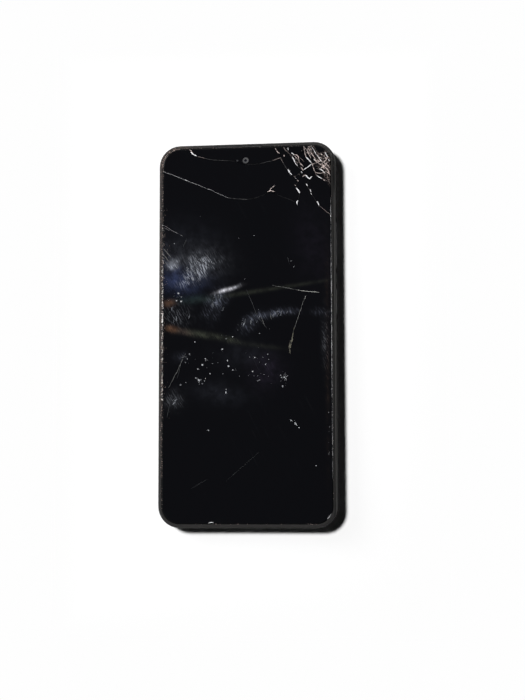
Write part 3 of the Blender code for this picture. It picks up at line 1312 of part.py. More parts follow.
def build_speaker():
    """Loudspeaker box, the mesh in front of it and the vibration motor."""
    front = -CAVITY_Y + LOUDSPEAKER_SETBACK
    body = (
        LOUDSPEAKER_X0, front, LOUDSPEAKER_BOTTOM_Z,
        LOUDSPEAKER_X1, LOUDSPEAKER_BACK_Y, LOUDSPEAKER_TOP_Z,
    )
    rim = (LOUDSPEAKER_RIM, 1)
    shape = slab(body, LOUDSPEAKER_CORNER, 3, top=rim, bottom=rim)
    speaker = add_part("loudspeaker", shape, "socket_plastic")
    cut(speaker, "port", box((
        LOUDSPEAKER_X0 + SPEAKER_PORT_MARGIN, front - OVERSHOOT, SOCKET_Z - SPEAKER_PORT_HALF_HEIGHT,
        LOUDSPEAKER_X1 - SPEAKER_PORT_MARGIN, front + SPEAKER_PORT_DEPTH,
        SOCKET_Z + SPEAKER_PORT_HALF_HEIGHT,
    )))
    mesh_front = -CAVITY_Y + CLEARANCE
    add_part("speaker_mesh", box((
        LOUDSPEAKER_X0 + SPEAKER_MESH_MARGIN, mesh_front, SOCKET_Z - SPEAKER_MESH_HALF_HEIGHT,
        LOUDSPEAKER_X1 - SPEAKER_MESH_MARGIN, mesh_front + SPEAKER_MESH_THICKNESS,
        SOCKET_Z + SPEAKER_MESH_HALF_HEIGHT,
    )), "mesh_grey")
    start = (MOTOR_X, MOTOR_Y, MOTOR_BOTTOM_Z)
    end = (MOTOR_X, MOTOR_Y, BOARD_BOTTOM_Z - CLEARANCE)
    add_part("vibration_motor", cylinder(MOTOR_RADIUS, start, end), "steel")


def build_battery():
    """Battery pouch with its lead to the upper board, and the long cable past it."""
    y0 = LOWER_RIB_Y + RIB_THICKNESS / 2 + BATTERY_END_GAP
    y1 = UPPER_RIB_Y - RIB_THICKNESS / 2 - BATTERY_END_GAP
    body = (BATTERY_X0, y0, BATTERY_BOTTOM_Z, BATTERY_X1, y1, BATTERY_TOP_Z)
    rim = (BATTERY_RIM, 2)
    battery = add_part("battery", slab(body, BATTERY_CORNER, 3, top=rim, bottom=rim), "foil_grey")
    fuse(battery, "lead", box((
        LEAD_X0, y1 - 2 * BATTERY_RIM, CABLE_Z, LEAD_X1, LEAD_END_Y, CABLE_Z + CABLE_THICKNESS,
    )))
    fuse(battery, "plug", box((
        LEAD_X0 - LEAD_PLUG_MARGIN, LEAD_PLUG_Y0, CABLE_Z,
        LEAD_X1 + LEAD_PLUG_MARGIN, LEAD_PLUG_Y1, CABLE_Z + PLUG_HEIGHT,
    )))
    cable = add_part("main_flex", box((
        CABLE_X0, CABLE_START_Y, CABLE_Z, CABLE_X1, CABLE_END_Y, CABLE_Z + CABLE_THICKNESS,
    )), "cable_amber")
    plugs = bmesh.new()
    for y in (CABLE_START_Y + CABLE_PLUG_INSET, CABLE_END_Y - CABLE_PLUG_INSET):
        box((
            CABLE_X0 - CABLE_PLUG_MARGIN, y - CABLE_PLUG_HALF, CABLE_Z + CABLE_THICKNESS / 2,
            CABLE_X1 + CABLE_PLUG_MARGIN, y + CABLE_PLUG_HALF, CABLE_Z + PLUG_HEIGHT,
        ), plugs)
    fuse(cable, "plugs", plugs)


def side_key(name, y, length, nub_places):
    """One side key: cap in the wall, flange behind it and the nubs that reach the switches."""
    flange_x = CAVITY_X - CLEARANCE
    flange_back = flange_x - KEY_FLANGE_THICKNESS
    half_y = length / 2
    half_z = KEY_HEIGHT / 2
    cap_height = SIDE - flange_x + OVERLAP
    cap = box((-half_y, -half_z, 0.0, half_y, half_z, cap_height))
    bevel(cap, level_edges(cap, cap_height), KEY_CAP_ROUND, 2)
    along_x = Matrix(((0, 0, 1), (1, 0, 0), (0, 1, 0))).to_4x4()
    place = Matrix.Translation((flange_x - OVERLAP, y, KEY_Z)) @ along_x
    bmesh.ops.transform(cap, matrix=place, verts=cap.verts)
    key = add_part(name, cap, "key_plastic")
    fuse(key, "flange", box((
        flange_back, y - half_y - KEY_FLANGE_MARGIN, KEY_Z - half_z - KEY_FLANGE_MARGIN_Z,
        flange_x, y + half_y + KEY_FLANGE_MARGIN, KEY_Z + half_z + KEY_FLANGE_MARGIN_Z,
    )))
    nubs = bmesh.new()
    for nub_y in nub_places:
        start = (flange_back + OVERLAP, nub_y, KEY_Z)
        end = (flange_back - KEY_NUB_LENGTH, nub_y, KEY_Z)
        cylinder(KEY_NUB_RADIUS, start, end, SMALL_ROUND_SEGMENTS, nubs)
    fuse(key, "nubs", nubs)
    set_origin(key, (flange_x - KEY_FLANGE_THICKNESS / 2, y, KEY_Z))


def set_origin(part, point):
    """Move a part's origin without moving the part."""
    shift = Vector(point)
    part.data.transform(Matrix.Translation(-shift))
    part.location = shift


def build_keys():
    """Both side keys and the switch strip behind them."""
    volume_nubs = (VOLUME_KEY_Y - VOLUME_NUB_REACH, VOLUME_KEY_Y + VOLUME_NUB_REACH)
    side_key("volume_rocker", VOLUME_KEY_Y, VOLUME_KEY_LENGTH, volume_nubs)
    side_key("power_button", POWER_KEY_Y, POWER_KEY_LENGTH, (POWER_KEY_Y,))
    strip_bounds = (
        STRIP_X0, SWITCH_RIB_Y0 + GAP_MARGIN, KEY_Z - STRIP_HALF_HEIGHT,
        STRIP_X0 + STRIP_THICKNESS, SWITCH_RIB_Y1 - STRIP_INSET, KEY_Z + STRIP_HALF_HEIGHT,
    )
    strip = add_part("side_key_flex", box(strip_bounds), "cable_amber")
    domes = bmesh.new()
    for y in (*volume_nubs, POWER_KEY_Y):
        start = (STRIP_X0 + STRIP_THICKNESS / 2, y, KEY_Z)
        cylinder(
            DOME_RADIUS, start, (DOME_X, y, KEY_Z), SMALL_ROUND_SEGMENTS, domes, DOME_TIP_RADIUS,
        )
    fuse(strip, "domes", domes)


def build_tray():
    """Card tray with its flush head, and the reader cage that it slides into."""
    face_x = -SIDE
    head_x = face_x + TRAY_HEAD_DEPTH
    end_x = head_x + TRAY_LENGTH
    half_y = TRAY_HEAD_WIDTH / 2
    half_z = TRAY_HEAD_HEIGHT / 2
    head = box((
        face_x, TRAY_Y - half_y, TRAY_Z - half_z, head_x, TRAY_Y + half_y, TRAY_Z + half_z,
    ))
    tray = add_part("sim_tray", head, "key_plastic")
    half_y = TRAY_WIDTH / 2
    half_z = TRAY_THICKNESS / 2
    fuse(tray, "plate", box((
        head_x - OVERLAP, TRAY_Y - half_y, TRAY_Z - half_z,
        end_x, TRAY_Y + half_y, TRAY_Z + half_z,
    )))
    bed = (
        face_x + CARD_BED_START, TRAY_Y - half_y + CARD_BED_RIM, CARD_BED_FLOOR_Z,
        end_x - CARD_BED_RIM, TRAY_Y + half_y - CARD_BED_RIM, TRAY_Z + OVERSHOOT,
    )
    cut(tray, "card_bed", slab(bed, CARD_BED_CORNER, 2))
    cut(tray, "pin_hole", cylinder(
        PIN_HOLE_RADIUS,
        (face_x - OVERSHOOT, PIN_HOLE_Y, TRAY_Z),
        (head_x + OVERLAP, PIN_HOLE_Y, TRAY_Z),
        SMALL_ROUND_SEGMENTS,
    ))
    set_origin(tray, (face_x, TRAY_Y, TRAY_Z))

    inner_y = half_y + CLEARANCE
    inner_z = half_z + CLEARANCE
    start_x = -CAVITY_X + CLEARANCE
    back_x = end_x + CLEARANCE
    cage = box((
        start_x, TRAY_Y - inner_y - READER_WALL, TRAY_Z - inner_z - READER_WALL,
        back_x + READER_WALL, TRAY_Y + inner_y + READER_WALL, TRAY_Z + inner_z + READER_TOP,
    ))
    reader = add_part("sim_reader", cage, "steel")
    cut(reader, "inside", box((
        start_x - OVERSHOOT, TRAY_Y - inner_y, TRAY_Z - inner_z,
        back_x, TRAY_Y + inner_y, TRAY_Z + inner_z,
    )))


def build_screws():
    """Screws that hold the boards, each with a cross recess."""
    head_top = BOARD_BOTTOM_Z - CLEARANCE
    head_bottom = head_top - SCREW_HEAD_HEIGHT
    slot_bottom = head_bottom - OVERLAP
    slot_top = head_bottom + SCREW_SLOT_DEPTH
    for index, (x, y) in enumerate(SCREW_PLACES, start=1):
        head = cylinder(SCREW_HEAD_RADIUS, (x, y, head_bottom), (x, y, head_top))
        screw = add_part(f"screw_{index:02d}", head, "steel")
        start = (x, y, head_top - OVERLAP)
        end = (x, y, PLATE_BOTTOM_Z)
        fuse(screw, "shank", cylinder(SCREW_SHANK_RADIUS, start, end, SMALL_ROUND_SEGMENTS))
        for label, half_x, half_y in (
            ("slot_a", SCREW_SLOT_HALF_LENGTH, SCREW_SLOT_HALF_WIDTH),
            ("slot_b", SCREW_SLOT_HALF_WIDTH, SCREW_SLOT_HALF_LENGTH),
        ):
            cut(screw, label, box(around(x, y, half_x, half_y, slot_bottom, slot_top)))


def main():
    """Build every piece of the phone."""
    build_glass()
    build_frame()
    build_back_cover()
    build_display()
    build_gasket()
    build_earpiece()
    build_front_camera()
    build_camera_group()
    build_main_board()
    build_sub_board()
    build_sockets()
    build_speaker()
    build_battery()
    build_keys()
    build_tray()
    build_screws()


main()
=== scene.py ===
"""A phone with a shattered screen, dressed: finishes, fractured glass, scuffs, grit and dirt.

Metres, with +Z out of the screen, +Y towards the earpiece end and +X right from the front.
Tables of marks on the face are in millimetres from the middle of the face.
"""
import logging
import math
import random
from dataclasses import dataclass
from enum import Enum
from typing import Dict, Iterable, List, Optional, Sequence, Tuple, Union

import bpy
from mathutils import Matrix, Vector


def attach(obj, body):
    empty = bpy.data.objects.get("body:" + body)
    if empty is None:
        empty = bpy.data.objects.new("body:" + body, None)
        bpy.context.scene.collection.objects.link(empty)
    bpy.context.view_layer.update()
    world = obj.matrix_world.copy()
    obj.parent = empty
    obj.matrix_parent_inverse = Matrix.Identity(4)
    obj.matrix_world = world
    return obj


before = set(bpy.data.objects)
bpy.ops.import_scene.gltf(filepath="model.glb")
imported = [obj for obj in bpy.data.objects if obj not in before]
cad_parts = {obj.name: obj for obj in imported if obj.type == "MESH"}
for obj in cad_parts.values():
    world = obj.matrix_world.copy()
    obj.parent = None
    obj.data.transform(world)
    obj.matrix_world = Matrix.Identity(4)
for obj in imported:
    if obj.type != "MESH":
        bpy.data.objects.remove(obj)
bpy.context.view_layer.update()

MM = 0.001
LOG = logging.getLogger("shattered_phone")

SENSOR_MM = 36.0
PICTURE_PX = 700.0
FLOOR_SIDE = 8.0
FLOOR_DROP = 0.00002
UPWARD = 0.9  # An upward face's normal has a z above this.
OVAL_FALL = 0.42  # What is left of an oval patch at its half length.

# The face, in millimetres from its middle.
HALF_WIDTH = 38.4
HALF_LENGTH = 82.65
CORNER_X, CORNER_Y = 29.2, 73.45  # Middle of the rounding of a corner.
GLASS_ROUND = 7.32  # How far from there marks stay on the glass.
RIM_ROUND = 7.45  # How far from there its rim lies.
STRUCK_POINT = (37.5, 80.0, 9.0)

Colour = Tuple[float, float, float]
Spot = Tuple[float, float, float]
Point = Tuple[float, float]
Table = Tuple[Tuple[float, ...], ...]
Value = Union["Wire", float]


class Body(Enum):
    """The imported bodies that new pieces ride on."""

    PHONE = "phone"


class Glint(Enum):
    """How brightly a fracture or a scratch is painted: its glint, painted into its colour."""

    THREAD = 0.022
    FAINT = 0.07
    SOFT = 0.24
    LONG = 0.44
    CLEAR = 0.72
    BRIGHT = 1.0


# Wiring of the shaders.


class Wire:
    """One output of a node tree, with arithmetic."""

    def __init__(self, sheet: "NodeSheet", socket: bpy.types.NodeSocket) -> None:
        """Wrap a socket.

        Args:
            sheet: The node sheet that the socket belongs to.
            socket: The output socket.
        """
        self.sheet = sheet
        self.socket = socket

    def __add__(self, other: Value) -> "Wire":
        """Add a value."""
        return self.sheet.maths("ADD", self, other)

    __radd__ = __add__

    def __sub__(self, other: Value) -> "Wire":
        """Take a value away."""
        return self.sheet.maths("SUBTRACT", self, other)

    def __rsub__(self, other: Value) -> "Wire":
        """Take this away from a value."""
        return self.sheet.maths("SUBTRACT", other, self)

    def __mul__(self, other: Value) -> "Wire":
        """Multiply by a value."""
        return self.sheet.maths("MULTIPLY", self, other)

    __rmul__ = __mul__

    def __pow__(self, other: Value) -> "Wire":
        """Raise to a power."""
        return self.sheet.maths("POWER", self, other)

    def __rpow__(self, other: Value) -> "Wire":
        """Raise a value to this power."""
        return self.sheet.maths("POWER", other, self)

    def most(self, other: Value) -> "Wire":
        """Larger of this and another value."""
        return self.sheet.maths("MAXIMUM", self, other)

    def least(self, other: Value) -> "Wire":
        """Smaller of this and another value."""
        return self.sheet.maths("MINIMUM", self, other)

    def clamped(self) -> "Wire":
        """Limit to between 0 and 1."""
        return self.sheet.maths("ADD", self, 0.0, clamp=True)

    def ramp(self, low: float, high: float) -> "Wire":
        """Rise smoothly from 0 to 1 between two values.

        Args:
            low: Where it leaves 0.
            high: Where it reaches 1. Below low, the ramp falls instead.

        Returns:
            The ramp.
        """
        if low > high:
            return 1.0 - self.ramp(high, low)
        return self.sheet.node(
            "ShaderNodeMapRange",
            {"interpolation_type": "SMOOTHSTEP"},
            {"Value": self, "From Min": low, "From Max": high},
        )


class NodeSheet:
    """A node tree, of a world or of a material, and the ways to add to it."""

    def __init__(self, tree: bpy.types.NodeTree) -> None:
        """Work on a tree.

        Args:
            tree: The node tree.
        """
        self.tree = tree

    def node(
        self,
        kind: str,
        settings: Optional[Dict[str, object]] = None,
        values: Optional[Dict[Union[str, int], object]] = None,
        output: Union[str, int] = 0,
    ) -> Optional[Wire]:
        """Add a node.

        Args:
            kind: The node's type name.
            settings: Properties set before the sockets; "stops" fills a colour ramp.
            values: Socket name or index to a wire or a plain value.
            output: Name or index of the output wanted.

        Returns:
            The chosen output, or None from a node that has none.
        """
        made = self.tree.nodes.new(kind)
        for name, value in (settings or {}).items():
            if name == "stops":
                ramp = made.color_ramp
                while len(ramp.elements) < len(value):
                    ramp.elements.new(0.5)
                for element, (position, colour) in zip(ramp.elements, value):
                    element.position = position
                    element.color = (*colour, 1.0)
            else:
                setattr(made, name, value)
        for name, value in (values or {}).items():
            if isinstance(value, Wire):
                self.tree.links.new(value.socket, made.inputs[name])
            else:
                made.inputs[name].default_value = value
        return Wire(self, made.outputs[output]) if made.outputs else None

    def maths(self, operation: str, *values: Value, clamp: bool = False) -> Wire:
        """Add a Math node.

        Args:
            operation: The node's operation.
            *values: Up to three values.
            clamp: Whether the result is kept between 0 and 1.

        Returns:
            The result.
        """
        sockets = dict(enumerate(values))
        return self.node("ShaderNodeMath", {"operation": operation, "use_clamp": clamp}, sockets)

    def vector(
        self, operation: str, *values: object, output: Union[str, int] = 0, **named: object,
    ) -> Wire:
        """Add a Vector Math node.

        Args:
            operation: The node's operation.
            *values: Its sockets in order.
            output: Name or index of the output wanted.
            **named: Its sockets by name.

        Returns:
            The chosen output.
        """
        sockets: Dict[Union[str, int], object] = {**dict(enumerate(values)), **named}
        return self.node("ShaderNodeVectorMath", {"operation": operation}, sockets, output)

    def mix(self, factor: Value, first: object, second: object) -> Wire:
        """Blend two colours.

        Args:
            factor: 0 gives the first and 1 the second.
            first: A colour or a wire.
            second: A colour or a wire.

        Returns:
            The blend.
        """
        sides = [(*side, 1.0) if isinstance(side, tuple) else side for side in (first, second)]
        return self.node(
            "ShaderNodeMix",
            {"data_type": "RGBA", "clamp_factor": True},
            {0: factor, 6: sides[0], 7: sides[1]},
            output=2,
        )


class MaterialSheet(NodeSheet):
    """The node tree of one material, with its shader and the place on the object in mm."""

    def __init__(self, name: str) -> None:
        """Start a material.

        Args:
            name: The material's name.
        """
        self.material = bpy.data.materials.new(name)
        self.material.use_nodes = True
        super().__init__(self.material.node_tree)
        self.shader = self.tree.nodes["Principled BSDF"]
        place = self.node("ShaderNodeTexCoord", output="Object")
        self.place = self.vector("SCALE", place, Scale=1.0 / MM)
        parts = self.node("ShaderNodeSeparateXYZ", values={0: self.place}).socket.node
        self.x, self.y, self.z = (Wire(self, output) for output in parts.outputs)

    def noise(
        self, scale: float, detail: float = 2.0, roughness: float = 0.5,
        stretch: Spot = (1.0, 1.0, 1.0), turn: float = 0.0,
    ) -> Wire:
        """Noise over the object.

        Args:
            scale: Features per millimetre.
            detail: Octaves.
            roughness: How strongly the finer octaves show.
            stretch: How many times longer the features are along each turned axis.
            turn: Turn about z in degrees.

        Returns:
            The noise.
        """
        place = self.turned(self.place, stretch, turn)
        return self.node(
            "ShaderNodeTexNoise", {},
            {"Vector": place, "Scale": scale, "Detail": detail, "Roughness": roughness},
        )

    def cells(
        self, scale: float, feature: str = "DISTANCE_TO_EDGE",
        stretch: Spot = (1.0, 1.0, 1.0), turn: float = 0.0, wobble: float = 0.0,
    ) -> Wire:
        """Voronoi cells over the object.

        Args:
            scale: Cells per millimetre.
            feature: The Voronoi feature.
            stretch: How many times longer the cells are along each turned axis.
            turn: Turn about z in degrees.
            wobble: How far, in millimetres, noise pushes the cell borders.

        Returns:
            The feature's value.
        """
        place = self.place
        if wobble:
            push = self.node(
                "ShaderNodeTexNoise", {}, {"Vector": place, "Scale": 0.7, "Detail": 2.0}, "Color",
            )
            push = self.vector("SUBTRACT", push, (0.5, 0.5, 0.5))
            place = self.vector("ADD", place, self.vector("SCALE", push, Scale=wobble))
        place = self.turned(place, stretch, turn)
        return self.node(
            "ShaderNodeTexVoronoi", {"feature": feature}, {"Vector": place, "Scale": scale},
        )

    def turned(self, place: Wire, stretch: Spot, turn: float) -> Wire:
        """Turn a place about z and shrink it along each turned axis.

        Args:
            place: The place.
            stretch: How many times longer features come out along each turned axis.
            turn: Turn in degrees.

        Returns:
            The turned place.
        """
        return self.node(
            "ShaderNodeMapping",
            {"vector_type": "TEXTURE"},
            {"Vector": place, "Rotation": (0.0, 0.0, math.radians(turn)), "Scale": stretch},
        )

    def oval(
        self, x: float, y: float, half_x: float, half_y: float, turn: float = 0.0,
    ) -> Wire:
        """Soft oval patch: 1 in the middle, falling away outside.

        Args:
            x: Middle, in millimetres.
            y: Middle, in millimetres.
            half_x: Half length along the turned x.
            half_y: Half length along the turned y.
            turn: Turn in degrees.

        Returns:
            The patch.
        """
        cos, sin = math.cos(math.radians(turn)), math.sin(math.radians(turn))
        along = self.maths("MULTIPLY_ADD", self.y, sin / half_x, -(x * cos + y * sin) / half_x)
        along = self.maths("MULTIPLY_ADD", self.x, cos / half_x, along)
        across = self.maths("MULTIPLY_ADD", self.y, cos / half_y, (x * sin - y * cos) / half_y)
        across = self.maths("MULTIPLY_ADD", self.x, -sin / half_y, across)
        spread = self.maths("MULTIPLY_ADD", along, along, across * across)
        return OVAL_FALL ** spread

    def bump(self, height: Value, distance_mm: float, strength: float = 1.0) -> None:
        """Feed a height to the shader's normal.

        Args:
            height: From 0 to 1.
            distance_mm: What a height of 1 stands for.
            strength: Share of the effect.
        """
        normal = self.node(
            "ShaderNodeBump", {},
            {"Strength": strength, "Distance": distance_mm * MM, "Height": height},
        )
        self.feed("Normal", normal)

    def feed(self, socket: str, value: object) -> None:
        """Set or link one of the shader's sockets.

        Args:
            socket: The socket's name.
            value: A wire, a colour or a number.
        """
        if isinstance(value, Wire):
            self.tree.links.new(value.socket, self.shader.inputs[socket])
        elif isinstance(value, tuple):
            self.shader.inputs[socket].default_value = (*value, 1.0)
        else:
            self.shader.inputs[socket].default_value = value


# Finishes.


@dataclass(frozen=True)
class Finish:
    """A finish: the way a material is painted.

    Attributes:
        name: The material's name.
    """

    name: str

    def paint(self, sheet: MaterialSheet) -> None:
        """Wire the material.

        Args:
            sheet: Node sheet of the material.
        """
        raise NotImplementedError

    def material(self) -> bpy.types.Material:
        """Make the material, or give the one made before.

        Returns:
            The material.
        """
        made = bpy.data.materials.get(self.name)
        if made is None:
            sheet = MaterialSheet(self.name)
            self.paint(sheet)
            made = sheet.material
        return made


@dataclass(frozen=True)
class Grained(Finish):
    """A solid finish with mottled colour, uneven gloss and fine grain.

    Attributes:
        colour: Main colour.
        second: Colour of the mottling.
        gloss: Lowest and highest roughness.
        metallic: 1 for metal.
        grain: Features per millimetre.
        relief_mm: Height of the grain.
        stretch: Grain stretch, for brushed metal.
    """

    colour: Colour
    second: Colour
    gloss: Tuple[float, float]
    metallic: float = 0.0
    grain: float = 3.0
    relief_mm: float = 0.01
    stretch: Spot = (1.0, 1.0, 1.0)

    def paint(self, sheet: MaterialSheet) -> None:
        """Wire the material.

        Args:
            sheet: Node sheet of the material.
        """
        mottle = sheet.noise(0.35, 3.0, 0.6).ramp(0.35, 0.65)
        grain = sheet.noise(self.grain, 3.0, 0.6, self.stretch)
        sheet.feed("Base Color", sheet.mix(mottle * 0.6 + grain * 0.4, self.colour, self.second))
        low, high = self.gloss
        sheet.feed("Roughness", grain * (high - low) + low)
        sheet.feed("Metallic", self.metallic)
        sheet.bump(grain, self.relief_mm)


@dataclass(frozen=True)
class HazeAndGlare:
    """Greasy haze on the glass, painted bright with the lamp's glare and its light streaks.

    Attributes:
        place: Middle, in millimetres.
        half: Half length and half width.
        turn: Turn in degrees.
        strength: How much of the tint shows.
        tint: Colour of its painted glare.
        strokes: How much of it breaks up into wiping strokes.
    """

    place: Point
    half: Point
    turn: float
    strength: float
    tint: Colour
    strokes: float = 0.0


# Tints of painted light on the face: FACET_ for the glints of broken glass, the rest for the
# haze's painted glare and painted light streaks.
FACET_WHITE = (0.95, 0.95, 0.97)
FACET_ROSE = (1.0, 0.84, 0.79)
BLUE = (0.13, 0.18, 0.42)
HAZE = (0.29, 0.32, 0.42)
PALE = (0.52, 0.55, 0.62)
GLARE = (0.92, 0.92, 1.0)
AMBER = (0.40, 0.20, 0.11)
ROSE = (0.34, 0.22, 0.19)
OLIVE = (0.14, 0.155, 0.11)
TEAL = (0.09, 0.16, 0.16)
BROWN = (0.16, 0.10, 0.07)
PLUM = (0.22, 0.17, 0.30)
# Painted glare and painted light streaks in grease haze: each patch brightens the black glass.
# AMBER, ROSE, OLIVE and TEAL are the painted light streaks.
HAZE_AND_GLARE = (
    HazeAndGlare((-32.0, 30.3), (2.1, 1.6), 35.0, 1.0, PALE, 0.55),
    HazeAndGlare((-31.0, 25.0), (5.0, 3.8), -30.0, 0.20, BLUE, 0.3),
    HazeAndGlare((-35.0, 34.6), (1.6, 3.6), 12.0, 0.16, HAZE, 0.9),
    HazeAndGlare((-19.0, 31.4), (5.2, 2.4), -4.0, 0.46, PALE, 0.95),
    HazeAndGlare((-21.0, 27.6), (5.6, 2.7), 38.0, 0.74, PALE, 0.92),
    HazeAndGlare((-24.8, 23.8), (3.8, 1.5), 30.0, 0.62, PALE, 0.95),
    HazeAndGlare((-26.0, 22.0), (8.0, 4.4), 12.0, 0.10, BLUE, 0.2),
    HazeAndGlare((-21.0, 31.5), (10.0, 6.0), -8.0, 0.055, PALE, 0.3),
    HazeAndGlare((-8.7, 18.9), (3.5, 0.64), 15.0, 1.0, GLARE, 0.40),
    HazeAndGlare((-4.4, 20.2), (1.6, 0.5), 30.0, 0.30, PALE, 0.8),
    HazeAndGlare((-11.6, 15.6), (3.4, 2.4), 42.0, 0.30, HAZE, 0.75),
    HazeAndGlare((-15.0, 11.4), (3.0, 4.6), -18.0, 0.19, HAZE, 0.85),
    HazeAndGlare((-30.0, 8.4), (4.4, 4.0), 0.0, 0.12, PALE, 0.9),
    HazeAndGlare((1.6, 4.6), (4.2, 2.0), 42.0, 0.34, HAZE, 0.8),
    HazeAndGlare((10.0, 8.0), (5.6, 1.3), 12.0, 0.34, HAZE, 0.8),
    HazeAndGlare((18.5, 9.0), (3.4, 1.0), 2.0, 0.18, HAZE, 0.8),
    HazeAndGlare((31.6, 8.6), (3.2, 1.4), -8.0, 0.11, HAZE, 0.8),
    HazeAndGlare((33.6, -2.0), (1.2, 9.0), 0.0, 0.08, PALE, 0.8),
    HazeAndGlare((-31.4, -28.4), (3.0, 3.0), 30.0, 0.17, PALE, 0.8),
    HazeAndGlare((-12.0, -25.4), (10.0, 3.8), -8.0, 0.030, HAZE, 0.2),
    HazeAndGlare((-28.7, -9.8), (2.6, 1.6), 10.0, 0.10, HAZE, 0.6),
    HazeAndGlare((8.0, -16.0), (6.0, 6.0), 0.0, 0.05, PLUM, 0.4),
    HazeAndGlare((-2.0, -9.0), (9.0, 5.0), 0.0, 0.018, HAZE),
    HazeAndGlare((-24.0, 38.0), (12.0, 9.0), -20.0, 0.022, HAZE),
    HazeAndGlare((29.0, 38.0), (7.0, 14.0), 8.0, 0.014, PLUM),
    HazeAndGlare((-33.4, 13.6), (2.3, 1.3), 4.0, 0.17, AMBER),
    HazeAndGlare((-32.4, 2.4), (2.1, 1.1), -12.0, 0.36, AMBER, 0.3),
    HazeAndGlare((-27.2, 1.0), (2.8, 1.0), -12.0, 0.22, ROSE, 0.6),
    HazeAndGlare((-22.5, 14.9), (7.0, 1.6), 4.0, 0.11, TEAL),
    HazeAndGlare((-2.0, 17.2), (14.0, 0.8), 8.0, 0.12, OLIVE),
    HazeAndGlare((22.0, 20.4), (13.0, 0.7), 8.0, 0.06, OLIVE),
    HazeAndGlare((-20.5, 0.0), (7.5, 1.2), -9.0, 0.28, OLIVE, 0.45),
    HazeAndGlare((-7.5, -2.7), (5.0, 1.1), -14.0, 0.19, OLIVE, 0.6),
    HazeAndGlare((6.0, -5.4), (9.0, 0.9), -8.0, 0.07, OLIVE, 0.3),
    HazeAndGlare((34.6, -8.0), (0.8, 34.0), 0.0, 0.10, BROWN, 0.8),
)


@dataclass(frozen=True)
class FaceGlass(Finish):
    """Cover glass over a switched-off display: near black, glossy, crazed, and hazed with painted
    glare and painted light streaks.

    Attributes:
        black: Colour of the clean face.
        crazed: Colour of the crushed corner's fine fractures and their painted glints.
    """

    name: str = "face_glass"
    black: Colour = (0.0032, 0.0033, 0.0042)
    crazed: Colour = (0.80, 0.62, 0.56)

    def crushed_area(self, sheet: MaterialSheet) -> Wire:
        """Mask of the crushed corner, at the upper right.

        Args:
            sheet: Node sheet of the material.

        Returns:
            1 inside it and 0 outside.
        """
        below = (sheet.x * 0.86 + sheet.y * 0.51).ramp(62.6, 64.2)
        beyond = (sheet.y * 0.36 + sheet.x * 0.93).ramp(53.4, 54.6)
        rim = (sheet.x * 0.62 + sheet.y * 0.78).ramp(84.6, 83.2)
        return below * beyond * rim

    def paint(self, sheet: MaterialSheet) -> None:
        """Wire the material.

        Args:
            sheet: Node sheet of the material.
        """
        strokes = sheet.noise(1.3, 1.0, 0.5, (3.6, 0.60, 1.0), -62.0).ramp(0.53, 0.62)
        cloud = sheet.noise(0.28, 3.0, 0.6).ramp(0.30, 0.68)
        colour: Union[Colour, Wire] = self.black
        dull: Union[float, Wire] = 0.0
        # Painted glare: each haze patch mixes its tint into the black glass.
        for glare_patch in HAZE_AND_GLARE:
            mask = sheet.oval(*glare_patch.place, *glare_patch.half, glare_patch.turn)
            if glare_patch.strokes:
                mask = mask * (strokes * glare_patch.strokes + (1.0 - glare_patch.strokes))
            mask = mask * (cloud * 0.7 + 0.3) * glare_patch.strength
            colour = sheet.mix(mask, colour, glare_patch.tint)
            dull = mask + dull
        area = self.crushed_area(sheet)
        veins = sheet.cells(0.75, stretch=(1.7, 0.8, 9.0), turn=-58.0, wobble=1.0)
        # Painted glints: a noise lights some stretches of the crazing brightly and leaves the
        # rest dim.
        crazing_glints = sheet.noise(1.3, 3.0, 0.7).ramp(0.46, 0.60)
        lines = veins.ramp(0.10, 0.03)
        whole = sheet.oval(32.0, 79.8, 2.4, 2.0).ramp(0.45, 0.25)
        crazing = area * whole * (lines * (crazing_glints * 0.20 + 0.02) + 0.006)
        colour = sheet.mix(crazing, colour, self.crazed)
        hairs = sheet.noise(1.1, 3.0, 0.6, (26.0, 0.3, 1.0), -64.0).ramp(0.66, 0.74)
        hairs = hairs * sheet.noise(0.09, 2.0).ramp(0.46, 0.66)
        colour = sheet.mix(hairs * 0.012, colour, PALE)
        sheet.feed("Base Color", colour)
        film = sheet.noise(0.12, 4.0, 0.6).ramp(0.35, 0.7)
        sheet.feed("Roughness", (film * 0.03 + 0.05 + dull * 0.5 + crazing * 0.5).least(0.45))
        sheet.feed("Specular IOR Level", 0.4)
        sheet.bump(hairs * 0.02 + lines * area * -0.35, 0.06, 0.5)


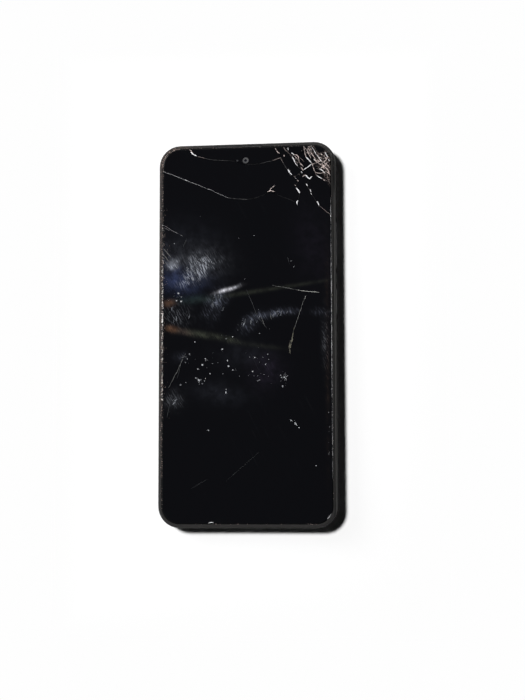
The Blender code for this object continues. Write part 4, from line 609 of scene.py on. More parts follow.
@dataclass(frozen=True)
class BandPlastic(Finish):
    """Dark plastic of the frame band: its lip painted greyer as a highlight over its wear, with
    painted shade on the right-hand lip and a painted highlight on the right-hand outer edge;
    scuffed at the struck corner.

    Attributes:
        wall: Colour of the side wall.
        lip: Colour of the lip: worn, and painted lighter than the wall as a highlight.
        bruise: Colour of scraped plastic.
        grime: Colour of the dirt.
        edge_highlight: Colour of the painted highlight along the right-hand outer edge.
    """

    name: str = "band_plastic"
    wall: Colour = (0.0035, 0.0035, 0.0035)
    lip: Colour = (0.036, 0.035, 0.035)
    bruise: Colour = (0.13, 0.12, 0.115)
    grime: Colour = (0.16, 0.115, 0.10)
    edge_highlight: Colour = (0.085, 0.083, 0.081)

    def paint(self, sheet: MaterialSheet) -> None:
        """Wire the material.

        Args:
            sheet: Node sheet of the material.
        """
        grain = sheet.noise(2.2, 4.0, 0.65)
        # Painted shade: the lip is painted darker beyond x of 37 mm, on the right-hand side away
        # from the lamp.
        lit = 1.0 - sheet.x.ramp(36.9, 37.5) * 0.78
        # Painted highlight: the top of the band, above z of 8.1 mm, is painted lighter than its
        # side wall.
        lip = sheet.z.ramp(8.1, 9.0) * lit
        colour = sheet.mix(lip * (grain * 0.6 + 0.5), self.wall, self.lip)
        fret = sheet.noise(1.4, 4.0, 0.75, (1.0, 1.0, 1.6)).ramp(0.54, 0.66)
        near = sheet.vector("DISTANCE", sheet.place, STRUCK_POINT, output="Value")
        struck = near.ramp(15.0, 3.0) * sheet.z.ramp(5.0, 8.6)
        rim = lip * sheet.noise(0.5, 2.0).ramp(0.45, 0.7)
        worn = (struck * 0.9 + rim * 0.35).clamped() * fret
        colour = sheet.mix(worn, colour, self.bruise)
        left = (0.0 - sheet.x).ramp(35.6, 36.9)
        top_left = sheet.oval(-33.0, 80.0, 9.0, 7.0)
        along = (left * sheet.y.ramp(-70.0, -20.0) * 0.5 + top_left).clamped()
        dirt = along * lip * sheet.noise(1.6, 4.0, 0.75).ramp(0.48, 0.62)
        colour = sheet.mix(dirt * 0.8, colour, self.grime)
        # Painted highlight along the right-hand outer edge of the band, below the struck corner.
        edge = sheet.x.ramp(37.6, 37.8) * sheet.x.ramp(38.2, 38.0) * sheet.z.ramp(7.6, 8.2)
        edge = edge * sheet.y.ramp(66.0, 56.0) * (grain * 0.6 + 0.5)
        colour = sheet.mix(edge.clamped(), colour, self.edge_highlight)
        sheet.feed("Base Color", colour)
        sheet.feed("Roughness", (grain * 0.16 + 0.38 + worn * 0.3 + dirt * 0.4).clamped())
        sheet.feed("Specular IOR Level", 0.06)
        sheet.bump(grain * 0.25 - worn * 0.5 + dirt * 0.6, 0.05)


@dataclass(frozen=True)
class CoverPlastic(Finish):
    """Glossy black back cover with wipe marks, hairline scratches and corner wear.

    Attributes:
        black: Colour of the clean cover.
        scratch: Colour of scraped plastic.
    """

    name: str = "cover_plastic_worn"
    black: Colour = (0.009, 0.009, 0.011)
    scratch: Colour = (0.11, 0.11, 0.12)

    def paint(self, sheet: MaterialSheet) -> None:
        """Wire the material.

        Args:
            sheet: Node sheet of the material.
        """
        hairs = sheet.noise(1.2, 3.0, 0.7, (0.04, 3.6, 0.2), 28.0).ramp(0.68, 0.76)
        crossing = sheet.noise(1.2, 3.0, 0.7, (0.05, 3.2, 0.2), -52.0).ramp(0.70, 0.78)
        patches = sheet.noise(0.05, 2.0).ramp(0.4, 0.65)
        marks = (hairs + crossing).clamped() * (patches * 0.8 + 0.2)
        edge = sheet.z.ramp(0.2, 1.4) * sheet.noise(0.9, 4.0, 0.7).ramp(0.58, 0.68)
        near = sheet.oval(36.0, 79.0, 8.0, 8.0)
        scuffs = (marks * 0.30 + edge * (near * 0.8 + 0.12)).clamped()
        sheet.feed("Base Color", sheet.mix(scuffs, self.black, self.scratch))
        film = sheet.noise(0.07, 4.0, 0.65).ramp(0.35, 0.7)
        sheet.feed("Roughness", (film * 0.16 + 0.20 + scuffs * 0.4).clamped())
        sheet.bump(sheet.noise(5.0, 2.0) * 0.15 - marks * 0.3, 0.02)


@dataclass(frozen=True)
class RearWindow(Finish):
    """Dark rear camera window, with its lens rings and the flash lamp showing through.

    Attributes:
        middle: Middle of the window's x, in millimetres.
        lenses: For each lens, its y and radius.
        flash: y and radius of the flash lamp.
        black: Colour of the window.
    """

    name: str = "rear_window"
    middle: float = 22.5
    lenses: Tuple[Point, ...] = ((71.0, 3.2), (61.5, 2.6), (53.6, 1.9))
    flash: Point = (48.0, 1.3)
    black: Colour = (0.006, 0.006, 0.008)

    def paint(self, sheet: MaterialSheet) -> None:
        """Wire the material.

        Args:
            sheet: Node sheet of the material.
        """
        film = sheet.noise(0.25, 3.0, 0.6).ramp(0.35, 0.7)
        colour: Union[Colour, Wire] = self.black
        for y, radius in self.lenses:
            far = self.radius_at(sheet, y)
            rim = far.ramp(radius - 0.05, radius + 0.1) * far.ramp(radius + 0.62, radius + 0.5)
            colour = sheet.mix(rim, colour, (0.13, 0.13, 0.14))
            barrel = far.ramp(radius * 0.66, radius * 0.6)
            colour = sheet.mix(barrel, colour, (0.012, 0.016, 0.032))
            iris = far.ramp(radius * 0.42, radius * 0.36) * far.ramp(radius * 0.26, radius * 0.3)
            colour = sheet.mix(iris * 0.8, colour, (0.05, 0.045, 0.10))
        y, radius = self.flash
        far = self.radius_at(sheet, y)
        facets = sheet.cells(1.6, "F1")
        lamp = sheet.mix(facets, (0.70, 0.58, 0.22), (0.85, 0.80, 0.60))
        colour = sheet.mix(far.ramp(radius + 0.05, radius - 0.05), colour, lamp)
        dust = sheet.cells(0.9, "F1").ramp(0.10, 0.04) * 0.3
        sheet.feed("Base Color", sheet.mix(dust, colour, (0.30, 0.28, 0.26)))
        sheet.feed("Roughness", (film * 0.08 + 0.06 + dust).clamped())
        sheet.bump(film, 0.01, 0.4)

    def radius_at(self, sheet: MaterialSheet, y: float) -> Wire:
        """Distance on the window from the lens at y.

        Args:
            sheet: Node sheet of the material.
            y: Middle of the lens.

        Returns:
            The distance in millimetres.
        """
        across = sheet.x - self.middle
        along = sheet.y - y
        return (across * across + along * along) ** 0.5


@dataclass(frozen=True)
class Fractured(Finish):
    """Broken glass, pale where broken, with painted glints: bright facets, dim stretches and grit
    between.

    Attributes:
        level: Share of the light it throws back: its painted glint.
        tint: Its colour.
        broken: Where along it the dim stretches begin; higher is more broken.
        dim: Colour of its dark stretches.
    """

    level: float
    tint: Colour
    broken: float
    dim: Colour = (0.05, 0.052, 0.06)

    def paint(self, sheet: MaterialSheet) -> None:
        """Wire the material.

        Args:
            sheet: Node sheet of the material.
        """
        # Painted glints: noise and cells light some stretches and facets brightly and leave
        # others dim.
        glow = sheet.noise(0.9, 4.0, 0.75).ramp(self.broken, self.broken + 0.16)
        facet = sheet.cells(2.6, "F1", wobble=0.4).ramp(0.1, 0.6)
        bright = tuple(channel * self.level for channel in self.tint)
        dim = tuple(channel * self.level for channel in self.dim)
        colour = sheet.mix((glow * (facet * 0.5 + 0.6)).clamped(), dim, bright)
        sheet.feed("Base Color", colour)
        sheet.feed("Roughness", facet * 0.3 + 0.25)
        sheet.feed("Specular IOR Level", 0.2)
        sheet.bump(facet, 0.05, 0.6)


@dataclass(frozen=True)
class Woven(Finish):
    """Fine woven metal mesh with dark openings and lint caught in it.

    Attributes:
        wire: Colour of the wires.
        pitch_mm: Pitch of the weave.
    """

    wire: Colour = (0.26, 0.26, 0.27)
    pitch_mm: float = 0.28

    def paint(self, sheet: MaterialSheet) -> None:
        """Wire the material.

        Args:
            sheet: Node sheet of the material.
        """
        turns = 2.0 * math.pi / self.pitch_mm
        weft = sheet.maths("SINE", (sheet.y + sheet.z) * turns)
        warp = sheet.maths("SINE", sheet.x * turns)
        weave = (weft * warp * 0.5 + 0.5).ramp(0.25, 0.75)
        lint = sheet.noise(0.8, 4.0, 0.7).ramp(0.55, 0.7)
        colour = sheet.mix(weave, (0.008, 0.008, 0.008), self.wire)
        sheet.feed("Base Color", sheet.mix(lint * 0.6, colour, (0.30, 0.26, 0.23)))
        sheet.feed("Metallic", (1.0 - lint) * 0.8)
        sheet.feed("Roughness", lint * 0.5 + 0.35)
        sheet.bump(weave, 0.05)


@dataclass(frozen=True)
class Circuit(Finish):
    """Green circuit board with copper tracks and a matt mask over them."""

    def paint(self, sheet: MaterialSheet) -> None:
        """Wire the material.

        Args:
            sheet: Node sheet of the material.
        """
        tracks = sheet.cells(0.55, stretch=(1.0, 0.35, 1.0)).ramp(0.09, 0.05)
        pads = sheet.cells(0.9, "F1").ramp(0.16, 0.12)
        mask = sheet.noise(0.8, 3.0)
        green = sheet.mix(mask, (0.008, 0.050, 0.026), (0.012, 0.072, 0.040))
        colour = sheet.mix(tracks * 0.6, green, (0.030, 0.13, 0.060))
        colour = sheet.mix(pads, colour, (0.55, 0.40, 0.16))
        sheet.feed("Base Color", colour)
        sheet.feed("Metallic", pads * 0.9)
        sheet.feed("Roughness", 0.5 - pads * 0.2)
        sheet.bump(tracks + pads, 0.03)


@dataclass(frozen=True)
class Lensed(Finish):
    """Black lens barrel with a coated front element: a bluish bloom on near black."""

    def paint(self, sheet: MaterialSheet) -> None:
        """Wire the material.

        Args:
            sheet: Node sheet of the material.
        """
        bloom = sheet.noise(0.9, 2.0).ramp(0.35, 0.7)
        sheet.feed("Base Color", sheet.mix(bloom, (0.006, 0.006, 0.008), (0.012, 0.014, 0.030)))
        sheet.feed("Roughness", bloom * 0.12 + 0.08)
        sheet.feed("Coat Weight", 0.6)
        sheet.bump(bloom, 0.01, 0.3)


@dataclass(frozen=True)
class Grit(Finish):
    """Dust and crumbs: pale, dry, with a warm or a cool cast.

    Attributes:
        pale: Colour of the palest crumbs.
        dark: Colour of the darkest.
    """

    pale: Colour
    dark: Colour

    def paint(self, sheet: MaterialSheet) -> None:
        """Wire the material.

        Args:
            sheet: Node sheet of the material.
        """
        mottle = sheet.noise(1.6, 3.0, 0.7).ramp(0.38, 0.58)
        sheet.feed("Base Color", sheet.mix(mottle, self.dark, self.pale))
        sheet.feed("Roughness", mottle * 0.2 + 0.6)
        sheet.bump(sheet.noise(6.0, 3.0), 0.03)


# Modelling.


@dataclass
class Stroke:
    """A line of fracture or a scratch on the face.

    Attributes:
        points: Its corners, in millimetres.
        width: Its greatest width, in millimetres.
        taper: Share of the width left at its ends.
    """

    points: Sequence[Point]
    width: float
    taper: float = 0.3


def read_rows(table: str) -> Table:
    """Read rows of numbers, which new lines or bars part."""
    lines = table.strip().replace("|", "\n").splitlines()
    return tuple(tuple(float(word) for word in line.split()) for line in lines)


def read_strokes(table: str) -> Tuple[Stroke, ...]:
    """Read strokes.

    Args:
        table: For each stroke a line with its width, its taper and the x and y of its corners.

    Returns:
        The strokes.
    """
    return tuple(
        Stroke(tuple(zip(places[::2], places[1::2])), width, taper)
        for width, taper, *places in read_rows(table)
    )


class Bench:
    """The work bench: modelling steps that the sub-assemblies share.

    RIDGE, SHOULDER and FOOT are the heights of a ridge's top, of its sides and of its foot,
    and FACE is that of the glass, in millimetres. STEP is the usual step along a ridge, and
    DRIFT how far a step strays.
    """

    FACE = 9.40
    RIDGE = 9.447
    SHOULDER = 9.405
    FOOT = 9.31
    STEP = 0.9
    DRIFT = 0.09

    @staticmethod
    def deselect() -> None:
        """Select nothing."""
        if bpy.context.object and bpy.context.object.mode != "OBJECT":
            bpy.ops.object.mode_set(mode="OBJECT")
        bpy.ops.object.select_all(action="DESELECT")

    @staticmethod
    def linked(name: str, data: bpy.types.ID) -> bpy.types.Object:
        """Make an object of some data and link it to the scene.

        Args:
            name: The object's name.
            data: Its mesh, curve, light or camera.

        Returns:
            The object.
        """
        made = bpy.data.objects.new(name, data)
        bpy.context.scene.collection.objects.link(made)
        return made

    @staticmethod
    def top_faces(piece: bpy.types.Object) -> None:
        """Enter edit mode with only the upward faces selected.

        Args:
            piece: The active object.
        """
        bpy.ops.object.mode_set(mode="EDIT")
        bpy.ops.mesh.select_all(action="DESELECT")
        bpy.ops.object.mode_set(mode="OBJECT")
        for face in piece.data.polygons:
            face.select = face.normal.z > UPWARD
        bpy.ops.object.mode_set(mode="EDIT")

    @staticmethod
    def settle(piece: bpy.types.Object, name: str) -> bpy.types.Object:
        """Name a piece and put its place into its mesh.

        Args:
            piece: The object.
            name: Its name.

        Returns:
            The same object, at the origin, unturned and unscaled.
        """
        Bench.deselect()
        piece.select_set(True)
        bpy.context.view_layer.objects.active = piece
        bpy.ops.object.transform_apply(location=True, rotation=True, scale=True)
        piece.name = name
        piece.data.name = name
        return piece

    @staticmethod
    def dress(piece: bpy.types.Object, finish: Finish, body: Body, slot: str) -> None:
        """Give a new piece its finish and its body.

        Args:
            piece: The new piece.
            finish: What it is dressed with.
            body: The body that it rides on.
            slot: Material slot of the record. Not used.
        """
        piece.data.materials.clear()
        piece.data.materials.append(finish.material())
        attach(piece, body.value)
        LOG.info("%s: %d faces on %s", piece.name, len(piece.data.polygons), body.value)

    @staticmethod
    def join(parts: Sequence[bpy.types.Object], name: str) -> bpy.types.Object:
        """Join several objects into one piece.

        Args:
            parts: The objects, which become one.
            name: The piece's name.

        Returns:
            The piece.
        """
        Bench.deselect()
        for part in parts:
            part.select_set(True)
        bpy.context.view_layer.objects.active = parts[0]
        if len(parts) > 1:
            bpy.ops.object.join()
        return Bench.settle(bpy.context.view_layer.objects.active, name)

    @staticmethod
    def on_glass(x: float, y: float) -> bool:
        """Tell whether a point lies on the cover glass, clear of its edge.

        Args:
            x: In millimetres.
            y: In millimetres.

        Returns:
            Whether it does.
        """
        over_x = max(0.0, abs(x) - CORNER_X)
        over_y = max(0.0, abs(y) - CORNER_Y)
        return math.hypot(over_x, over_y) < GLASS_ROUND

    @staticmethod
    def roughened(stroke: Stroke, chance: random.Random) -> List[Tuple[float, float, float]]:
        """Cut a stroke into short uneven steps.

        Args:
            stroke: The stroke.
            chance: Source of the unevenness.

        Returns:
            Points as x, y and half width, in millimetres.
        """
        path: List[Point] = []
        for (x0, y0), (x1, y1) in zip(stroke.points, stroke.points[1:]):
            length = math.hypot(x1 - x0, y1 - y0)
            steps = max(1, round(length / Bench.STEP))
            for step in range(steps):
                share = step / steps
                path.append((x0 + (x1 - x0) * share, y0 + (y1 - y0) * share))
        path.append(tuple(stroke.points[-1]))
        path = [point for point in path if Bench.on_glass(*point)]
        made = []
        for index, (x, y) in enumerate(path):
            inside = 0 < index < len(path) - 1
            drift = min(Bench.DRIFT, stroke.width * 0.4) if inside else 0.0
            end = min(index, len(path) - 1 - index) / max(1.0, (len(path) - 1) * 0.25)
            swell = stroke.taper + (1.0 - stroke.taper) * min(1.0, end)
            half = stroke.width / 2 * swell * chance.uniform(0.55, 1.15)
            x += chance.uniform(-drift, drift)
            y += chance.uniform(-drift, drift)
            made.append((x, y, half))
        return made

    @staticmethod
    def ridge(name: str, strokes: Iterable[Stroke], seed: int) -> bpy.types.Object:
        """Model strokes as low sharp ridges of broken glass.

        Args:
            name: The piece's name.
            strokes: What it is made of.
            seed: Seed of the unevenness.

        Returns:
            The piece.
        """
        chance = random.Random(seed)
        curve = bpy.data.curves.new(name, "CURVE")
        curve.dimensions = "3D"
        curve.twist_mode = "Z_UP"
        curve.bevel_depth = MM
        curve.bevel_resolution = 0
        curve.use_fill_caps = True
        for stroke in strokes:
            path = Bench.roughened(stroke, chance)
            if len(path) < 2:
                LOG.warning("%s: a stroke lies off the glass", name)
                continue
            spline = curve.splines.new("POLY")
            spline.points.add(len(path) - 1)
            for target, (x, y, half) in zip(spline.points, path):
                target.co = (x * MM, y * MM, 0.0, 1.0)
                target.radius = half
        holder = Bench.linked(name, curve)
        Bench.deselect()
        holder.select_set(True)
        bpy.context.view_layer.objects.active = holder
        bpy.ops.object.convert(target="MESH")
        piece = bpy.context.view_layer.objects.active
        for vert in piece.data.vertices:
            if vert.co.z > 0.01 * MM:
                vert.co.z = Bench.RIDGE * MM
            elif vert.co.z < -0.01 * MM:
                vert.co.z = Bench.FOOT * MM
            else:
                vert.co.z = Bench.SHOULDER * MM
        return Bench.settle(piece, name)

    @staticmethod
    def fractures(name: str, lines: Iterable[Stroke], seed: int, finish: Fractured) -> None:
        """Model strokes as ridges on the cover glass and dress them.

        Args:
            name: The piece's name.
            lines: What it is made of.
            seed: Seed of the unevenness.
            finish: Its finish.
        """
        Bench.dress(Bench.ridge(name, lines, seed), finish, Body.PHONE, "cover_glass")

    @staticmethod
    def crumb(seed: int) -> bpy.types.Object:
        """Model one crumb, a lumpy grain 2 mm across to be copied smaller.

        Args:
            seed: Seed of its shape.

        Returns:
            The crumb.
        """
        Bench.deselect()
        bpy.ops.mesh.primitive_ico_sphere_add(subdivisions=1, radius=MM, location=(0, 0, 0))
        bpy.ops.object.mode_set(mode="EDIT")
        bpy.ops.mesh.select_all(action="SELECT")
        bpy.ops.transform.vertex_random(offset=0.42 * MM, seed=seed)
        bpy.ops.object.mode_set(mode="OBJECT")
        return bpy.context.object

    @staticmethod
    def splinter(seed: int) -> bpy.types.Object:
        """Model one flat splinter with bevelled rims, 2 mm long to be copied smaller.

        Args:
            seed: Seed of its shape.

        Returns:
            The splinter.
        """
        Bench.deselect()
        bpy.ops.mesh.primitive_cylinder_add(
            vertices=5, radius=MM, depth=2.0 * MM, location=(0, 0, 0),
        )
        piece = bpy.context.object
        chance = random.Random(seed)
        Bench.top_faces(piece)
        bpy.ops.transform.resize(value=(0.6, 0.5, 1.0))
        bpy.ops.transform.translate(value=(0.25 * MM, chance.uniform(-0.2, 0.2) * MM, 0.0))
        bpy.ops.mesh.select_all(action="SELECT")
        bpy.ops.transform.vertex_random(offset=0.22 * MM, seed=seed)
        bpy.ops.object.mode_set(mode="OBJECT")
        return piece

    @staticmethod
    def scatter(
        name: str,
        patterns: Sequence[bpy.types.Object],
        places: Iterable[Sequence[float]],
        seed: int,
    ) -> bpy.types.Object:
        """Copy patterns to many places and join the copies.

        Args:
            name: The piece's name.
            patterns: The modelled pieces, which are used up.
            places: For each copy x, y, lowest z, highest z, half length, half width and
                turn in degrees.
            seed: Picks the pattern of each copy.

        Returns:
            The piece.
        """
        chance = random.Random(seed)
        copies = []
        for x, y, low, high, half_length, half_width, turn in places:
            pattern = chance.choice(list(patterns))
            mesh = pattern.data.copy()
            lowest = min(vert.co.z for vert in mesh.vertices)
            tallest = max(vert.co.z for vert in mesh.vertices)
            height = (high - low) * MM / (tallest - lowest)
            mesh.transform(Matrix.Translation((0.0, 0.0, -lowest)))
            mesh.transform(Matrix.Diagonal((half_length, half_width, height, 1.0)))
            mesh.transform(Matrix.Rotation(math.radians(turn), 4, "Z"))
            mesh.transform(Matrix.Translation((x * MM, y * MM, low * MM)))
            copies.append(Bench.linked(name, mesh))
        for pattern in patterns:
            bpy.data.objects.remove(pattern, do_unlink=True)
        return Bench.join(copies, name)


# Sub-assemblies.


@dataclass
class CrackedFace:
    """The through cracks, drawn as bright broken edges, and the flakes along them.

    Attributes:
        seed: Seed of their unevenness.
        bright: The strongest glints. The other tables go down to thread, the faintest.
    """

    seed: int = 41
    bright: Tuple[Stroke, ...] = read_strokes("""
    0.5 0.4  -24.4 79.6  -23.2 78.4  -21.8 77.7
    0.36 0.5  -16.4 -80.5  -15.2 -80.1  -14.3 -80.4
    0.5 0.4  -26.9 67.4  -25.8 66.8
    0.5 0.5  36.3 50.2  36.5 49.5
    0.68 0.5  18.1 70.6  18.9 69.2  19.8 68.2
    0.72 0.5  21.7 62.4  22.5 61.4  23.2 60.1
    0.56 0.5  22.3 57  22 56.2  22.1 55
    0.64 0.5  25.8 67.9  26.9 66.6  27.5 66.1  28.4 67.2
    0.64 0.5  26 64.1  26.6 63.1
    0.77 0.5  27.6 61.7  28 60.7
    0.64 0.5  27.9 60.1  28.3 59.4
    0.52 0.5  30.6 56.4  31.2 55.3  31.4 54.5
    0.48 0.5  25.9 75.9  27 74.8  28.2 73.3
    0.41 0.5  24.7 70.1  26.6 71.3  28.3 72.7
    0.38 0.5  27.8 81.5  28.5 80  29.6 78.5  30.4 76.6
    0.51 0.5  30.7 76.5  31.4 75.5  32.2 74.3  32.6 73.6
    0.48 0.5  35.6 74.5  36.6 73
    0.89 0.5  36.4 67.6  36.8 66.3  37 65.6
    0.38 0.5  31.7 70.5  32.8 69.9  34.1 68.4
    0.48 0.5  30.6 67.6  32 66.6  32.8 66.2
    0.45 0.5  20 76  20.6 74.9  21.3 73.1  22.3 72.1
    0.45 0.5  34.1 77.7  34.9 76.4  35.3 75.5
    0.51 0.5  18.1 80.1  18.4 79.1
    0.51 0.5  19.7 77.8  20.2 77.5  20.8 76.9
    0.64 0.5  23.9 69.5  24.3 68.9
    0.57 0.5  21.3 66.9  21.8 66.3
    0.57 0.5  24.5 82  25.2 81.5
    0.57 0.5  29.3 74.7  29.8 74.3
    """)
    clear: Tuple[Stroke, ...] = read_strokes("""
    0.34 0.5  -25.6 81  -24.3 80.2  -23.4 78.9
    0.52 0.3  9 61  10.6 61.5  12.3 61.2
    0.3 0.3  10 61.9  11.2 62.7  12.6 64
    0.38 0.5  11.9 81.9  12.7 80.1  13.6 78.5  14.6 77.6
    0.7 0.5  16.4 77  16.6 76.4
    0.57 0.5  22.1 65.9  22.6 65.3
    0.45 0.5  21.1 63.7  21.5 63.3
    0.45 0.5  24.5 67.3  25.2 67.8  25.8 67.9
    0.38 0.5  24.9 81.4  25.2 79.7  25.6 77.4  25.9 75.9
    0.35 0.5  26.3 81.3  26.9 80.3  27.4 78.8  28.5 77  29.6 75.5
    0.32 0.5  26.5 79.7  26.7 78.2  27.4 76.7  28.1 75.3
    0.32 0.5  25.6 79.7  26.3 78.9  27.4 78.1  28 76.4
    0.32 0.5  26.9 80.8  28 79.4  28.5 78.1
    0.38 0.5  28.7 72.6  29 71.1  29.9 69.2
    0.35 0.5  29.9 72.9  31.4 73.6  32.9 74.2
    0.32 0.5  31.4 75.5  33.2 74.9  35.1 75.4
    0.38 0.5  36.6 76.5  36 75.2
    0.35 0.5  31.4 72.9  32.3 72.3  33.3 72.9
    0.35 0.5  32.5 68.5  33.6 68.8  34.7 69.1
    0.32 0.5  33.6 73.6  35.1 72.1  36.2 70.6
    0.35 0.5  33.2 72.2  34.3 71  35.4 69.9  36.3 67.6
    0.51 0.5  33.5 65.5  34.1 65.1
    0.51 0.5  36 64.7  36.9 63.8  37.2 63.3
    0.35 0.5  20.6 77.1  21.9 76.9  22.7 76  23 74
    0.32 0.5  20.9 76.6  21.7 75.6  22.3 74.8
    0.38 0.5  22.9 73.8  23.7 72.8  24.8 71.6
    0.38 0.5  23.5 71.6  24.2 70.8  24.6 70
    0.35 0.5  28.2 73.3  28.7 72.6  29.9 72.9
    0.32 0.5  29.6 75.5  29.9 74.2  31.4 72.9
    0.32 0.5  32.6 73.6  33.6 73.3  34.7 74.3  35.3 75.5
    0.32 0.5  32.2 70.6  33.2 71.6  34.3 71
    0.32 0.5  29.9 69.2  31.3 68.5  32.5 68.5
    0.38 0.5  34.7 69.1  35.7 68.4  36.4 67.6
    """)
    long: Tuple[Stroke, ...] = read_strokes("""
    0.2 0.8  -36.5 71.2  -31.7 69.4  -26.4 67  -24 66.1
    0.17 0.9  -24 66.1  -20.6 64.7  -14.8 62.2
    0.12 0.9  -14.8 62.2  -11.2 60.4  -8.1 59
    0.16 0.4  -36.5 47.8  -32.4 45.1  -30 43.9  -27.7 42.7
    0.12 0.4  -36.2 46.6  -33.6 45.2
    """)
    soft: Tuple[Stroke, ...] = read_strokes("""
    0.26 0.5  -21.8 77.7  -20.1 77.2  -18.2 76.6
    0.29 0.5  15 75.8  15.6 74.6  16.2 73.3
    0.32 0.5  11.5 74.8  13.8 75.4  15.1 75.9
    0.35 0.5  15.5 81.7  16.2 80.5  17.1 79  18.1 78.2
    0.45 0.5  22.5 81.9  22.7 81.5
    0.32 0.5  20 81.9  20.2 81.6
    0.32 0.5  21.3 74  22.6 73.4  22.1 72.6
    0.32 0.5  20 76  20.4 76.6  20.6 77.1
    0.45 0.5  23.9 78.8  24.2 78.4
    0.38 0.5  20.4 67.6  21.3 67.4
    0.38 0.5  32.8 66.2  35 65.1  36 64.7
    0.26 0.5  18.1 78.2  18.9 77.2  20 76
    0.26 0.5  28.5 81.5  29.6 80  30.7 78.1
    0.26 0.5  27.6 78.8  28.5 79.3  29.6 78.5
    0.26 0.5  25.6 77.4  26.5 77.8  27.4 76.7
    0.29 0.5  30.6 70.6  31.8 70.3
    0.29 0.5  29.9 71.8  31 71.4  31.7 70.5
    0.26 0.5  34.1 68.4  35 68.1  35.2 67
    0.26 0.5  32.9 74.2  33.6 74.7  34.1 75.5
    0.26 0.5  33.6 70.3  34.4 71  35.1 72.1
    0.29 0.5  35.2 67  36.1 66.6  36.8 66.3
    0.22 0.5  22.7 76  23.7 75.3  25.2 73.7
    0.22 0.5  30.3 76.6  31.4 77  32.9 76.8
    0.22 0.5  31.4 54.5  33.3 53  34.9 51.6  37 50.1
    0.29 0.5  25.2 81.5  26.3 81.3  27.8 81.5
    0.29 0.5  29.9 69.2  30.3 68.1  30.7 67.5
    0.26 0.5  21.7 75.6  21.1 74.8  20.6 74.9
    0.29 0.5  23.1 68.2  22.5 68.4
    """)
    faint: Tuple[Stroke, ...] = read_strokes("""
    0.32 0.7  -8.1 59  -4.2 58.3  0.7 58
    0.2 0.6  -18.2 76.6  -16.1 76  -11.7 75.5  -8 75.2
    0.2 0.4  5.4 73.4  11.6 74.7
    0.22 0.5  14.9 76.2  16 73.5  18 70.4
    """)
    thread: Tuple[Stroke, ...] = read_strokes("""
    0.22 0.5  0.7 58  4.2 58.5  9.5 60.6
    0.2 0.5  12.6 60.2  16 58.5  19.4 57.4  22 55.7
    0.18 0.6  -8 75.2  -4.8 74.9
    0.2 0.5  -0.3 73.2  5.4 73.4
    0.22 0.5  19.8 68.1  21.1 67.2  22.4 65.4  21.5 63.7  21.9 62.4
    0.2 0.5  23.2 60.1  22.7 57.9  22.4 57
    0.2 0.5  27.3 66  26.1 63.8  27.8 60.3  31.1 55.2
    0.2 0.5  20.7 73.9  22.4 71.6  24.6 69.8
    0.2 0.5  24.6 69.8  22.4 68.1  21.1 67.2
    """)

    def build(self) -> None:
        """Model and dress the cracks and flakes."""
        tables = (
            (Glint.BRIGHT, self.bright, 0.30, FACET_WHITE),
            (Glint.CLEAR, self.clear, 0.36, FACET_ROSE),
            (Glint.LONG, self.long, 0.38, FACET_WHITE),
            (Glint.SOFT, self.soft, 0.36, FACET_ROSE),
            (Glint.FAINT, self.faint, 0.34, FACET_WHITE),
            (Glint.THREAD, self.thread, 0.34, FACET_WHITE),
        )
        for step, (glint, lines, broken, tint) in enumerate(tables):
            name = glint.name.lower()
            finish = Fractured(f"fracture_{name}", level=glint.value, tint=tint, broken=broken)
            Bench.fractures(f"crack_edges_{name}", lines, self.seed + step, finish)


